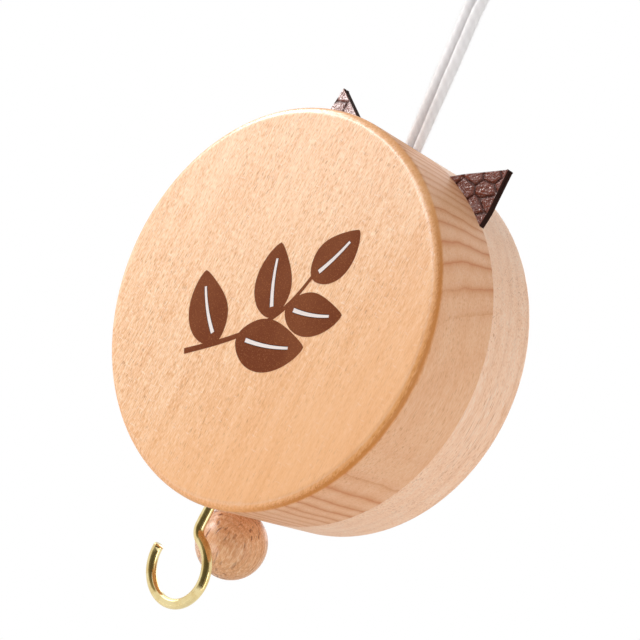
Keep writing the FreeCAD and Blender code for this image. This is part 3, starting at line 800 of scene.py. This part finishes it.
class GrowthTree(NodeSheet):
    """Geometry node tree with named inputs, which is run once to make a piece."""

    def __init__(self, name: str, inputs: dict[str, str]) -> None:
        """Start the tree.

        Args:
            name: the tree's name.
            inputs: names and kinds of its inputs.
        """
        self.tree = bpy.data.node_groups.new(name, "GeometryNodeTree")
        for label, kind in inputs.items():
            self.tree.interface.new_socket(label, in_out="INPUT", socket_type="NodeSocket" + kind)
        self.tree.interface.new_socket("Geometry", in_out="OUTPUT", socket_type="NodeSocketGeometry")
        super().__init__(self.tree)
        self.given = self.add("NodeGroupInput").outputs

    def hand_out(self, geometry: Socket) -> None:
        """Make the geometry real, paint it with the given finish and hand it out.

        Args:
            geometry: what the tree has made.
        """
        real = self.add("GeometryNodeRealizeInstances", {"Geometry": geometry}).outputs[0]
        paint = self.add("GeometryNodeSetMaterial", {"Geometry": real, "Material": self.given["Finish"]})
        self.add("NodeGroupOutput", {"Geometry": paint.outputs[0]})

    def grow(self, name: str, sizes: dict[str, object], source: bpy.types.Mesh | None = None) -> Thing:
        """Run the tree and keep what it makes as a plain mesh.

        Args:
            name: the piece's name.
            sizes: values for the named inputs.
            source: the mesh that it starts from, if any.

        Returns:
            The object.
        """
        host = shown(name + "_host", source or bpy.data.meshes.new(name + "_host"))
        maker = host.modifiers.new("maker", "NODES")
        maker.node_group = self.tree
        for item in self.tree.interface.items_tree:
            if item.in_out == "INPUT" and item.name in sizes:
                maker[item.identifier] = sizes[item.name]
        mesh = bpy.data.meshes.new_from_object(host.evaluated_get(bpy.context.evaluated_depsgraph_get()))
        bpy.data.objects.remove(host)
        return shown(name, mesh)


@dataclass
class Studio:
    """Pale floor, soft light and the camera at the photograph's viewing angle."""

    camera_place: Triple = (212.294, -249.193, -69.817)
    azimuth: float = 39.92
    elevation: float = 3.709
    roll: float = 27.53
    lens: float = 86.042
    sensor: float = 36.0
    clip_start: float = 10.0
    floor_z: float = -430.0
    floor_radius: float = 4000.0
    floor_sides: int = 96
    ambient: float = 0.34
    card_centre: Range = (4.6, -4.7)
    card_radius: float = 80.0
    card_arc: Range = (8.0, -121.0)
    card_heights: Range = (-174.0, -72.0)
    card_steps: int = 60
    card_tones: tuple[tuple[float, str], ...] = ((0.0, "#A39B80"), (0.3, "#5A5443"), (0.78, "#67614D"),
                                                 (1.0, "#A39B80"))
    behind_card: tuple[str, ...] = ("key", "left", "graze", "low_front")

    def camera(self) -> None:
        """Set up the camera from its angles."""
        az, el = math.radians(self.azimuth), math.radians(self.elevation)
        forward = Vector((-math.sin(az) * math.cos(el), math.cos(az) * math.cos(el), -math.sin(el)))
        level = forward.cross(Vector((0, 0, 1))).normalized()
        right = Matrix.Rotation(-math.radians(self.roll), 3, forward) @ level
        axes = Matrix((right, right.cross(forward), -forward)).transposed().to_4x4()
        data = bpy.data.cameras.new("photo_camera")
        data.lens = self.lens
        data.sensor_width = self.sensor
        data.clip_start = self.clip_start * MM
        thing = shown("photo_camera", data)
        thing.matrix_world = Matrix.Translation(Vector(self.camera_place) * MM) @ axes
        bpy.context.scene.camera = thing

    def lamp(self, name: str, toward: Triple, distance: float, size: float, level: float,
             narrow: float = 1.0, only_shine: bool = False) -> None:
        """Hang one soft lamp that points at the case.

        Args:
            name: the lamp's name.
            toward: direction from the case to the lamp.
            distance: how far off it is, in metres.
            size: its width, in metres.
            level: brightness of a white surface that faces it.
            narrow: its height as a share of its width.
            only_shine: whether only its reflections show.
        """
        data = bpy.data.lights.new(name, "AREA")
        data.shape = "RECTANGLE"
        data.size, data.size_y = size, size * narrow
        data.energy = level * math.pi ** 2 * distance ** 2
        direction = Vector(toward).normalized()
        thing = shown(name, data)
        thing.location = Vector(CASE_CENTRE) * MM + direction * distance
        thing.rotation_euler = direction.to_track_quat("Z", "Y").to_euler()
        thing.visible_camera = False
        thing.visible_diffuse = not only_shine

    def card(self) -> None:
        """Stand a curved olive card beside the hook that only reflections show."""
        turn = np.radians(np.linspace(*self.card_arc, self.card_steps))
        ring = np.stack([np.cos(turn), np.sin(turn)], 1) * self.card_radius + self.card_centre
        rows = [np.column_stack([ring, np.full(self.card_steps, z)]) for z in self.card_heights]
        mesh = plain_mesh("olive_card", np.concatenate(rows), grid_faces(2, self.card_steps, False))
        attach(mesh, "arc", np.tile(np.linspace(0, 1, self.card_steps), 2))
        sheet = Sheet(bpy.data.materials.new("olive_card"))
        tone = sheet.ramp(sheet.attribute("arc"), self.card_tones)
        sheet.dress(Base_Color=BLACK, Specular_IOR_Level=0.0, Emission_Color=tone, Emission_Strength=1.0)
        mesh.materials.append(sheet.owner)
        thing = shown("olive_card", mesh)
        thing.visible_camera = thing.visible_diffuse = thing.visible_shadow = False

    def world(self) -> None:
        """Light the room evenly and show it as white."""
        bpy.context.scene.world = bpy.data.worlds.new("white_room")
        sheet = Sheet(bpy.context.scene.world)
        white = sheet.nodes["Background"]
        white.inputs["Color"].default_value = WHITE
        white.inputs["Strength"].default_value = 1.0
        lit = sheet.add("ShaderNodeBackground", {"Color": WHITE, "Strength": self.ambient})
        sheet.show_mix(sheet.seen(), lit.outputs[0], white.outputs[0], "World Output")

    def floor(self) -> None:
        """Lay a pale floor that keeps the shadow under the object and fades to white further out."""
        turn = np.linspace(0, 2 * math.pi, self.floor_sides, endpoint=False)
        rim = np.stack([np.cos(turn), np.sin(turn), np.zeros(self.floor_sides)], 1) * self.floor_radius
        rim += (CASE_CENTRE[0], 0.0, self.floor_z)
        mesh = plain_mesh("floor", rim, [tuple(range(self.floor_sides))])
        sheet = Sheet(bpy.data.materials.new("pale_floor"))
        pale = sheet.mixed(sheet.noise(sheet.coords(), (30.0, 30.0, 30.0), 2.0), "#F1F0EE", "#F6F5F3")
        bounced = sheet.add("ShaderNodeLightPath").outputs["Is Diffuse Ray"]
        sheet.dress(Base_Color=sheet.mixed(bounced, pale, "#BFBAB4"), Roughness=0.8)
        x, y, _ = sheet.split(sheet.coords())
        reach = sheet.math("SQRT", sheet.math("ADD", sheet.times(x, x), sheet.times(y, y)))
        white = sheet.add("ShaderNodeEmission", {"Strength": 1.0}).outputs[0]
        faded = sheet.times(sheet.seen(), sheet.span(reach, 0.15, 0.45))
        sheet.show_mix(faded, sheet.nodes["Principled BSDF"].outputs[0], white, "Material Output")
        mesh.materials.append(sheet.owner)
        shown("floor", mesh)

    def build(self) -> None:
        """Set the view, the light and the floor."""
        bpy.context.scene.view_settings.view_transform = "Standard"
        self.camera()
        self.world()
        self.floor()
        self.lamp("key", (-0.22, -0.86, 0.45), 0.9, 0.7, 0.14)
        self.lamp("left", (-0.78, -0.60, 0.12), 0.8, 0.28, 0.40)
        self.lamp("graze", (-0.82, -0.14, 0.52), 0.7, 0.30, 0.50)
        self.lamp("ear_light", (-0.63, -0.76, 0.15), 0.7, 0.12, 0.37)
        self.lamp("left_ear_light", (-0.71, -0.69, 0.19), 0.7, 0.45, 2.4, only_shine=True)
        self.lamp("hook_light", (-0.90, -0.08, 0.38), 0.5, 0.40, 0.40, only_shine=True)
        self.lamp("rim_light", (-0.68, -0.62, 0.38), 0.7, 0.62, 1.15, narrow=0.2, only_shine=True)
        self.lamp("right", (0.99, -0.02, -0.03), 0.8, 0.6, 0.51)
        self.lamp("low_front", (-0.25, -0.70, -0.67), 0.5, 0.4, 0.52)
        self.lamp("back", (-0.25, 0.85, 0.35), 0.9, 0.6, 0.35)
        self.card()

    def link_lamps(self) -> None:
        """Keep the lamps behind the card off the hook, and each lamp made for one piece to that piece."""
        ears = [thing for thing in bpy.data.objects if thing.name.endswith("_ply_leather")]
        left_ear = [thing for thing in ears if thing.name.startswith("left")]
        hook, cover = [bpy.data.objects["screw_hook_wire"]], [bpy.data.objects["front_cover"]]
        for state, things, lamps in (("EXCLUDE", hook, self.behind_card), ("INCLUDE", ears, ("ear_light",)),
                                     ("INCLUDE", left_ear, ("left_ear_light",)),
                                     ("INCLUDE", hook, ("hook_light",)), ("INCLUDE", cover, ("rim_light",))):
            group = bpy.data.collections.new("linked_to_" + lamps[0])
            for thing in things:
                group.objects.link(thing)
            for item in group.collection_objects:
                item.light_linking.link_state = state
            for name in lamps:
                links = bpy.data.objects[name].light_linking
                links.receiver_collection = group
                links.blocker_collection = group if state == "INCLUDE" else None


@dataclass
class HangingCord:
    """Doubled cotton cord, its knot inside the case, and the loop that a peg holds."""

    radius: float = 1.05
    lean: float = 5.3
    length: float = 123.5
    route: tuple[Range, ...] = (
        (1.2, -58.1), (1.2, -41.0), (1.2, -24.0), (1.2, -15.0), (3.56, -5.46), (4.30, -2.48), (2.87, 0.24),
        (0.0, 1.33), (-2.87, 0.24), (-4.30, -2.48), (-3.56, -5.46), (-1.2, -15.0), (-1.2, -24.0),
        (-1.2, -41.0), (-1.2, -58.1))
    route_steps: int = 24
    sides: int = 32
    pinched: float = 0.94
    relaxed: float = 1.18
    held: float = 8.0
    swell: float = 22.0
    yarns: int = 3
    yarn_pitch: float = 7.0
    relief: float = 0.012
    fuzz_density: float = 7.0
    fuzz_length: float = 0.55
    fuzz_width: float = 0.030
    fuzz_swing: Triple = (1.25, 1.25, 3.1)
    fuzz_seed: int = 4

    def place(self, across: float, along: float) -> Triple:
        """Point of the loop in millimetres, from its places across the strands and up along them."""
        a = math.radians(self.lean)
        return (across * math.cos(a) - along * math.sin(a), 0.0, across * math.sin(a) + along * math.cos(a))

    def smooth_route(self) -> np.ndarray:
        """Points of the route's NURBS line, in millimetres.

        Returns:
            The points in order.
        """
        data = bpy.data.curves.new("cord_route", "CURVE")
        data.dimensions = "3D"
        data.resolution_u = self.route_steps
        spline = data.splines.new("NURBS")
        spline.points.add(len(self.route) - 1)
        for point, (across, along) in zip(spline.points, self.route):
            point.co = (*(Vector(self.place(across, along)) * MM), 1.0)
        spline.order_u = 3
        spline.use_endpoint_u = True
        guide = bpy.data.objects.new("cord_route", data)
        mesh = bpy.data.meshes.new_from_object(guide)
        points = np.array([v.co for v in mesh.vertices]) / MM
        bpy.data.meshes.remove(mesh)
        bpy.data.objects.remove(guide)
        bpy.data.curves.remove(data)
        return points

    def soft_radius(self, angles: np.ndarray, run: float) -> np.ndarray:
        """Radius of the soft cord at each angle of one ring, pinched where it enters the case.

        Args:
            angles: the ring's angles.
            run: the ring's place along the cord.

        Returns:
            The radii.
        """
        free = min(run, self.length - run) - self.held
        ease = min(max(free / self.swell, 0.0), 1.0)
        radius = self.pinched + (self.relaxed - self.pinched) * ease * ease * (3 - 2 * ease)
        return radius * (1 + self.relief * np.cos(self.yarns * angles - 2 * math.pi * run / self.yarn_pitch))

    def fuzz(self, surface: bpy.types.Mesh) -> Thing:
        """Grow loose fibres that stand off the cord.

        Args:
            surface: the cord's mesh.

        Returns:
            The fibres.
        """
        tree = GrowthTree("cord_fuzz", {"Surface": "Geometry", "Density": "Float", "Fibre Length": "Float",
                                        "Fibre Width": "Float", "Seed": "Int", "Finish": "Material"})
        given = tree.given
        scatter = tree.add("GeometryNodeDistributePointsOnFaces",
                           {"Mesh": given["Surface"], "Density": given["Density"], "Seed": given["Seed"]})
        fibre = tree.add("GeometryNodeMeshCone", {"Vertices": 3, "Depth": given["Fibre Length"],
                                                  "Radius Bottom": given["Fibre Width"], "Radius Top": 0.0})
        least = tuple(-angle for angle in self.fuzz_swing)
        swing = tree.add("FunctionNodeRandomValue", data_type="FLOAT_VECTOR",
                         values={0: least, 1: self.fuzz_swing, "Seed": given["Seed"]})
        plant = tree.add("GeometryNodeInstanceOnPoints",
                         {"Points": scatter.outputs["Points"], "Rotation": scatter.outputs["Rotation"],
                          "Instance": fibre.outputs["Mesh"]})
        turn = tree.add("GeometryNodeRotateInstances", {"Instances": plant.outputs[0],
                                                        "Rotation": swing.outputs[0]})
        tree.hand_out(turn.outputs[0])
        sizes = {"Density": self.fuzz_density / MM ** 2, "Fibre Length": self.fuzz_length * MM,
                 "Fibre Width": self.fuzz_width * MM, "Seed": self.fuzz_seed,
                 "Finish": Finish.WHITE_COTTON.material()}
        return tree.grow("hanging_cord_fuzz", sizes, surface)

    def build(self) -> None:
        """Make the cord, its loose fibres and its knot."""
        points = self.smooth_route()
        cord = tube("hanging_cord_cotton", points, self.sides, self.soft_radius, Finish.WHITE_COTTON)
        seat(cord, "case", "white_cord", "hanging_cord")
        fuzz = self.fuzz(cord.data)
        seat(fuzz, "case", "white_cord")
        knot = overhand_knot("hanging_knot_tied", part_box("hanging_knot"), self.lean, Finish.WHITE_COTTON)
        seat(knot, "case", "white_cord", "hanging_knot")


def overhand_knot(name: str, box: tuple[Vector, Vector], lean: float, finish: Finish) -> Thing:
    """Tight trefoil of cord that fills the box of a knot's solid.

    Args:
        name: the piece's name.
        box: lowest and highest corner of the solid, in metres.
        lean: the knot's tilt about Y in degrees.
        finish: what it is made of.

    Returns:
        The object.
    """
    steps, sides, cord_share, fill = 181, 16, 0.36, 0.92
    low, high = np.array(box[0]) / MM, np.array(box[1]) / MM
    half = (high - low) / 2
    cord_r = min(half) * cord_share
    t = np.linspace(0, 2 * math.pi, steps)
    across, deep = (np.sin(t) + 2 * np.sin(2 * t)) / 3, (np.cos(t) - 2 * np.cos(2 * t)) / 3
    loop = np.stack([across, deep, -np.sin(3 * t)], 1)
    a = math.radians(lean)
    tilt = np.array([[math.cos(a), 0, -math.sin(a)], [0, 1, 0], [math.sin(a), 0, math.cos(a)]])
    points = (low + high) / 2 + (loop * (half * fill - cord_r)) @ tilt.T
    rings = tube_rings(points, sides, lambda angles, run: np.full(len(angles), cord_r))
    return piece(name, rings, grid_faces(len(points), sides, True), finish, 80.0)


@dataclass(frozen=True)
class EarCut:
    """How one ear is cut and how it stands, in millimetres."""

    word: str
    side: int
    angle: float
    half_base: float
    apex_r: float
    lean: float
    back: float
    twist: float


@dataclass
class LeatherEars:
    """Two ears of two plies each, clamped in the seam, with a pebbled grain on their outer sides."""

    cuts: tuple[EarCut, ...] = (EarCut("left", -1, 27.9, 8.2, 54.4, -0.4, 0.4, 0.0),
                                EarCut("right", 1, 27.2, 7.0, 53.0, 1.2, 0.0, 0.09))
    base_r: float = 41.9
    tang: float = 3.6
    ply: float = 0.9
    seam_gap: float = 0.01
    splay: float = 0.12
    blunt: float = 0.16
    columns: int = 96
    rows: int = 108
    pebble: float = 3.9
    pebble_jitter: float = 0.36
    pebble_start: Range = (0.0, 4.0)
    ripples: int = 6
    ripple_pitch: float = 3.4
    ripple_reach: float = 0.14
    phase_top: float = 6.3
    pillow_power: float = 3.6
    pillow_share: float = 0.80
    flatness: float = 1.15
    valley_width: float = 1.7
    valley_depth: float = 0.48
    crown: float = 0.05
    wrinkle: float = 0.85
    wrinkles: int = 7
    wrinkle_pitches: Range = (6.0, 11.0)
    wrinkle_share: float = 0.06
    edge_slope: float = 0.86
    edge_round: float = 0.45
    edge_drop: float = 0.12
    cut_width: float = 0.10
    first_seed: int = 11
    seed_step: int = 14

    def pebbles(self, across: np.ndarray, up: np.ndarray, seed: int) -> np.ndarray:
        """Height of the pebbled grain from 0 in a valley to 1 on a crown.

        Args:
            across: places across the ear.
            up: places up the ear.
            seed: start of the random draws.

        Returns:
            The heights.
        """
        draws = np.random.default_rng(seed)
        side = np.arange(-4, 5)
        grid = np.stack(np.meshgrid(side, side, indexing="ij"), -1).reshape(-1, 2) * self.pebble
        grid[:, 0] += np.where(np.round(grid[:, 1] / self.pebble) % 2 > 0.5, self.pebble / 2, 0.0)
        jitter = draws.uniform(-self.pebble_jitter, self.pebble_jitter, grid.shape) * self.pebble
        seeds = grid + jitter + self.pebble_start
        ripple = np.zeros_like(across)
        turns = draws.uniform(0, math.pi, self.ripples)
        phases = draws.uniform(0, self.phase_top, self.ripples)
        for turn, phase in zip(turns, phases):
            run = across * math.cos(turn) + up * math.sin(turn)
            ripple += np.sin(self.ripple_pitch * run + phase) / 3
        away = np.hypot(across[..., None] - seeds[:, 0], (up[..., None] - seeds[:, 1]) * self.flatness)
        away.sort(axis=-1)
        border = np.maximum(away[..., 1] - away[..., 0] + self.ripple_reach * ripple, 0.0)
        pillow = 1 - (1 - np.clip(border / self.valley_width, 0.0, 1.0)) ** self.pillow_power
        crease = np.sin(2 * math.pi * border / self.wrinkle + 2.6 * ripple) * np.clip(border / 0.5, 0.0, 1.0)
        small = np.zeros_like(across)
        turns = draws.uniform(0, math.pi, self.wrinkles)
        phases = draws.uniform(0, self.phase_top, self.wrinkles)
        pitches = draws.uniform(*self.wrinkle_pitches, self.wrinkles)
        for turn, phase, pitch in zip(turns, phases, pitches):
            run = across * math.cos(turn) + up * math.sin(turn)
            small += np.sin(pitch * run + phase + 2.0 * ripple) / 2.6
        grain = self.pillow_share * pillow + self.wrinkle_share * crease + self.wrinkle_share * small
        return np.clip(grain, 0.0, 1.0)

    def ply_mesh(self, name: str, cut: EarCut, outward: int, seed: int) -> Thing:
        """Build one ply as a slab with a grained outer side and straight cut edges.

        Args:
            name: the ply's name.
            cut: the ear that it belongs to.
            outward: -1 for the front ply and 1 for the back ply.
            seed: start of the grain's random draws.

        Returns:
            The object.
        """
        tall = cut.apex_r - self.base_r
        up = np.linspace(-self.tang, tall, self.rows)[:, None]
        taper = np.clip(1 - up / tall, 0.0, 1.0)
        half = np.maximum(cut.half_base * np.where(up < 0, 1.0, taper), self.blunt)
        s, w = half * np.linspace(-1, 1, self.columns), np.repeat(up, self.columns, 1)
        rise = np.clip(w / tall, 0.0, 1.0)
        grain = self.pebbles(s, w, seed)
        edge = np.minimum((half - np.abs(s)) * self.edge_slope, tall - w)
        soft = np.clip(edge / self.edge_round, 0.0, 1.0)
        flat = self.seam_gap + self.splay * rise ** 2
        height = self.ply + self.crown - self.valley_depth * (1 - grain) * soft
        height = height - self.edge_drop * (1 - soft) ** 2 + self.splay * rise ** 2
        turn = math.radians(cut.side * cut.angle)

        def placed(depth: np.ndarray) -> np.ndarray:
            """Points of the ply at one depth off the seam.

            Args:
                depth: the depth at each point of the grid.

            Returns:
                The points, row by row.
            """
            radius, slid = self.base_r + w, s + cut.side * cut.lean * rise
            x = slid * math.cos(turn) + radius * math.sin(turn)
            z = radius * math.cos(turn) - slid * math.sin(turn)
            y = outward * depth + cut.back * rise ** 1.5 + cut.twist * s * np.clip(w / 3.0, 0.0, 1.0)
            return np.stack([x, y, z], -1).reshape(-1, 3) + CASE_CENTRE

        vertices = np.concatenate([placed(level) for level in (height, (height + flat) / 2, flat)])
        faces = slab_faces(self.rows, self.columns, 3)
        if outward > 0:
            faces = [tuple(reversed(face)) for face in faces]
        used = sorted({i for face in faces for i in face})
        number = {old: new for new, old in enumerate(used)}
        faces = [tuple(number[i] for i in face) for face in faces]
        thing = piece(name, vertices[used], faces, Finish.LEATHER, 50.0)
        hidden = 2 * self.rows * self.columns
        cuts = (1 - np.clip(edge.ravel() / self.cut_width, 0, 1)) ** 2
        attach(thing.data, "grain", np.concatenate([grain.ravel(), np.zeros(hidden)])[used])
        attach(thing.data, "cut", np.concatenate([cuts, np.ones(hidden)])[used])
        return thing

    def build(self) -> None:
        """Make the four plies."""
        for k, cut in enumerate(self.cuts):
            for outward, ply in ((-1, "front"), (1, "back")):
                node = f"{cut.word}_ear_{ply}_ply"
                seed = self.first_seed + self.seed_step * k + outward
                leather = self.ply_mesh(node + "_leather", cut, outward, seed)
                seat(leather, "case", "ear_leather", node)


@dataclass
class ScrewHook:
    """Open hook bent from round brass wire, with its thread in the wood."""

    y: float = -4.7
    wire_r: float = 1.15
    bow_r: float = 7.85
    bow_start: float = 75.0
    bow_end: float = -188.0
    drop: float = 16.4
    thread: float = 6.5
    sides: int = 48
    tip_bevel: float = 0.22
    shank_steps: int = 40
    neck_steps: int = 36
    bow_steps: int = 200

    def path(self) -> np.ndarray:
        """Centre line of the wire from the wood to the tip.

        Returns:
            The points in millimetres.
        """
        start, end = math.radians(self.bow_start), math.radians(self.bow_end)
        low = -CASE_R - self.drop
        neck_r = self.bow_r * math.cos(start) / (1 - math.cos(start))
        bend_z = low + self.bow_r * math.sin(start) + neck_r * math.sin(start)
        shank = [(0.0, z) for z in np.linspace(-CASE_R + self.thread, bend_z, self.shank_steps)]
        neck = [(neck_r * (1 - math.cos(a)), bend_z - neck_r * math.sin(a))
                for a in np.linspace(0, start, self.neck_steps)[1:]]
        bow = [(self.bow_r * math.cos(a), low + self.bow_r * math.sin(a))
               for a in np.linspace(start, end, self.bow_steps)[1:]]
        flat = np.array(shank + neck + bow)
        return np.stack([flat[:, 0], np.full(len(flat), self.y), flat[:, 1]], 1) + CASE_CENTRE

    def build(self) -> None:
        """Make the hook."""
        points = self.path()
        length = lengths_along(points)[-1]

        def radius(angles: np.ndarray, run: float) -> np.ndarray:
            """Radius of the wire, bevelled at its ends."""
            bevel = self.tip_bevel - min(run, length - run, self.tip_bevel)
            return np.full(len(angles), self.wire_r - bevel)

        wire = tube("screw_hook_wire", points, self.sides, radius, Finish.HOOK_BRASS)
        seat(wire, "case", "hook_brass", "screw_hook")


@dataclass
class PullBall:
    """Turned wooden bead on the pull cord, with the knot that stops in its underside."""

    radius: float = 8.0
    y: float = 7.4
    gap: float = 0.7
    bore_r: float = 0.9
    counterbore_r: float = 2.0
    counterbore: float = 3.3
    edge: float = 0.25
    segments: int = 160
    arc_steps: int = 96
    line_steps: int = 160
    line_sides: int = 16

    def build(self) -> None:
        """Make the bead, its knot and the cord that stretches out of the case."""
        centre = (CASE_CENTRE[0], self.y, CASE_CENTRE[2] - CASE_R - self.gap - self.radius)
        seat_z = -self.radius + self.counterbore
        low = math.asin((self.counterbore_r + self.edge) / self.radius)
        high = math.asin((self.bore_r + self.edge) / self.radius)
        profile = [(self.bore_r, seat_z), (self.counterbore_r, seat_z),
                   (self.counterbore_r, -self.radius * math.cos(low) + 2 * self.edge)]
        profile += [(self.radius * math.cos(a), self.radius * math.sin(a))
                    for a in np.linspace(-math.pi / 2 + low, math.pi / 2 - high, self.arc_steps)]
        profile += [(self.bore_r, self.radius * math.cos(high) - 2 * self.edge)]
        ball = lathe("pull_ball_bead", profile, centre, self.segments, Finish.BALL_WOOD)
        seat(ball, "pull", "ball_wood", "pull_ball")
        knot = overhand_knot("ball_knot_tied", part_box("ball_knot"), 0.0, Finish.PULL_LINE)
        seat(knot, "pull", "pull_line", "ball_knot")
        self.line()

    def line(self) -> None:
        """Make the cord from the drum to the bead as one fixed length; the real cord draws out as the bead is
        pulled.
        """
        low, high = (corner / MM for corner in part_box("pull_cord"))
        x, y = (low.x + high.x) / 2, (low.y + high.y) / 2
        points = np.array([(x, y, z) for z in np.linspace(high.z, low.z, self.line_steps)])
        cord = tube("pull_cord_line", points, self.line_sides,
                    lambda angles, run: np.full(len(angles), PULL_CORD_R), Finish.PULL_LINE)
        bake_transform(cord)
        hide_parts("pull_cord")
        log.info("%s: drawn out between the case and the bead", cord.name)


@dataclass(frozen=True)
class Leaf:
    """One printed leaf: its place along the stem, its direction and bend in degrees, and its size."""

    share: float
    angle: float
    length: float
    width: float
    bend: float


@dataclass
class LeafPrint:
    """Brown sprig printed on the front, with white ribs in its leaves."""

    leaves: tuple[Leaf, ...] = (Leaf(0.20, 150.0, 17.0, 10.5, -30.0), Leaf(0.34, 4.0, 18.0, 11.0, 26.0),
                                Leaf(0.58, 128.0, 16.0, 9.5, -24.0), Leaf(0.72, 2.0, 14.5, 9.0, 30.0),
                                Leaf(0.99, 58.0, 14.0, 9.0, 18.0))
    stem_start: Range = (-13.0, -17.0)
    stem_reach: Range = (22.0, 27.0)
    stem_bow: float = 5.0
    stem_width: float = 1.1
    face_y: float = -20.0
    ink: float = 0.05
    sunk: float = 0.02
    layer: float = 0.01
    rib_width: float = 0.9
    rib_span: Range = (0.16, 0.80)
    outline: float = 0.28
    steps: int = 48
    columns: int = 9

    def strip(self, name: str, middle: np.ndarray, half: np.ndarray, lift: float, finish: Finish) -> None:
        """Print a strip of ink about a line on the front face.

        Args:
            name: the piece's name.
            middle: points of the line, across and up from the face's centre.
            half: half of the strip's width at each point.
            lift: how far the ink stands off the wood.
            finish: the ink.
        """
        along = np.gradient(middle, axis=0)
        along /= np.linalg.norm(along, axis=1)[:, None]
        out = np.stack([-along[:, 1], along[:, 0]], 1)
        shares = np.linspace(-1, 1, self.columns)
        flat = middle[:, None] + shares[None, :, None] * half[:, None, None] * out[:, None]
        flat = flat.reshape(-1, 2)
        front = np.stack([flat[:, 0], np.full(len(flat), self.face_y - lift), flat[:, 1]], 1)
        back = front + (0.0, lift + self.sunk, 0.0)
        thing = piece(name, np.concatenate([front, back]) + CASE_CENTRE,
                      slab_faces(len(middle), self.columns, 2), finish)
        seat(thing, "case", "front_wood")

    def print_leaf(self, name: str, leaf: Leaf, root: np.ndarray) -> None:
        """Print one leaf with its white rib.

        Args:
            name: the leaf's name.
            leaf: its direction and size.
            root: where it leaves the stem, across and up.
        """
        t = np.linspace(0, 1, self.steps)
        heading = np.radians(leaf.angle + leaf.bend * t)
        step = leaf.length / (self.steps - 1)
        path = np.stack([np.cos(heading), np.sin(heading)], 1) * step
        middle = root + np.concatenate([[(0.0, 0.0)], np.cumsum(path[:-1], 0)])
        half = leaf.width / 2 * np.sin(math.pi * t ** 0.8) ** 0.75 + 0.02
        self.strip(name, middle, half, self.ink, Finish.BROWN_INK)
        rib = middle[slice(*(int(share * self.steps) for share in self.rib_span))]
        taper = self.rib_width / 2 * np.linspace(1.0, 0.6, len(rib))
        self.strip(name + "_rib_shade", rib, taper + self.outline / 2, self.ink + self.layer, Finish.DARK_INK)
        self.strip(name + "_rib", rib, taper, self.ink + 2 * self.layer, Finish.WHITE_INK)

    def build(self) -> None:
        """Print the stem and the leaves."""
        t = np.linspace(0, 1, self.steps)
        across = self.stem_start[0] + self.stem_reach[0] * t + self.stem_bow * np.sin(math.pi * t)
        stem = np.stack([across, self.stem_start[1] + self.stem_reach[1] * t], 1)
        self.strip("print_stem", stem, self.stem_width / 2 * (1.15 - 0.5 * t), self.ink - 0.015,
                   Finish.BROWN_INK)
        for k, leaf in enumerate(self.leaves):
            self.print_leaf(f"print_leaf_{k + 1}", leaf, stem[int(leaf.share * (self.steps - 1))])


class Movement:
    """The solids that keep their CAD shape, each with its own finish."""

    finishes: dict[Finish, tuple[str, ...]] = {
        Finish.FRONT_WOOD: ("front_cover",),
        Finish.REAR_WOOD: ("rear_housing",),
        Finish.SCREW_STEEL: ("case_screws", "bedplate_screws", "cheek_screws", "comb_screws",
                             "bracket_screw"),
        Finish.CAST: ("bedplate", "comb_riser"),
        Finish.FRAME_STEEL: ("left_cheek", "right_cheek", "governor_bracket", "spring_case"),
        Finish.STEEL: ("comb", "mainspring", "drum_arbor", "cylinder_arbor", "governor_arbor", "worm_shaft",
                       "governor_pinion"),
        Finish.GEAR_BRASS: ("cord_bush", "clutch_sleeve", "great_wheel", "cylinder", "cylinder_heads",
                            "cylinder_gear"),
        Finish.PLASTIC: ("cord_drum", "worm_wheel", "fan"),
    }

    def build(self) -> None:
        """Dress the solids."""
        for finish, names in self.finishes.items():
            for name in names:
                slots = frame["nodes"][name].data.materials
                slots.clear()
                slots.append(finish.material())
            log.info("%s: %s", finish.value.name, ", ".join(names))


@dataclass
class CordWinding:
    """Turns of the pull cord on its drum, made by a node tree."""

    sides: int = 10
    turn_steps: int = 48

    def tree(self) -> GrowthTree:
        """Build the node tree of a helix of cord along X.

        Returns:
            The tree, with inputs for its sizes.
        """
        tree = GrowthTree("cord_winding", {"Turns": "Float", "Radius": "Float", "Width": "Float",
                                           "Cord Radius": "Float", "Place": "Vector", "Finish": "Material"})
        given = tree.given
        spiral = tree.add("GeometryNodeCurveSpiral",
                          {"Resolution": self.turn_steps, "Rotations": given["Turns"],
                           "Height": given["Width"], "Start Radius": given["Radius"],
                           "End Radius": given["Radius"]})
        move = tree.add("GeometryNodeTransform", {"Geometry": spiral.outputs[0],
                                                  "Translation": given["Place"],
                                                  "Rotation": (0.0, math.pi / 2, 0.0)})
        profile = tree.add("GeometryNodeCurvePrimitiveCircle", {"Resolution": self.sides,
                                                                "Radius": given["Cord Radius"]})
        skin = tree.add("GeometryNodeCurveToMesh", {"Curve": move.outputs[0], "Fill Caps": True,
                                                    "Profile Curve": profile.outputs[0]})
        tree.hand_out(tree.add("GeometryNodeSetShadeSmooth", {"Geometry": skin.outputs[0]}).outputs[0])
        return tree

    def build(self) -> None:
        """Wind the cord in the place of its solid."""
        low, high = (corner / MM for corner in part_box("wound_cord"))
        middle = (low + high) / 2
        width = high.x - low.x - 2 * PULL_CORD_R
        sizes = {"Turns": width / (2 * PULL_CORD_R), "Radius": ((high.z - low.z) / 2 - PULL_CORD_R) * MM,
                 "Width": width * MM, "Cord Radius": PULL_CORD_R * MM,
                 "Place": Vector((low.x + PULL_CORD_R, middle.y, middle.z)) * MM,
                 "Finish": Finish.PULL_LINE.material()}
        seat(self.tree().grow("wound_cord_turns", sizes), "drum", "pull_line", "wound_cord")


def main() -> None:
    """Build the studio and every piece."""
    logging.basicConfig(level=logging.INFO, format="%(message)s")
    studio = Studio()
    for part in (studio, HangingCord(), LeatherEars(), ScrewHook(), PullBall(), LeafPrint(), CordWinding(),
                 Movement()):
        part.build()
    studio.link_lamps()


if __name__ == "__main__":
    main()
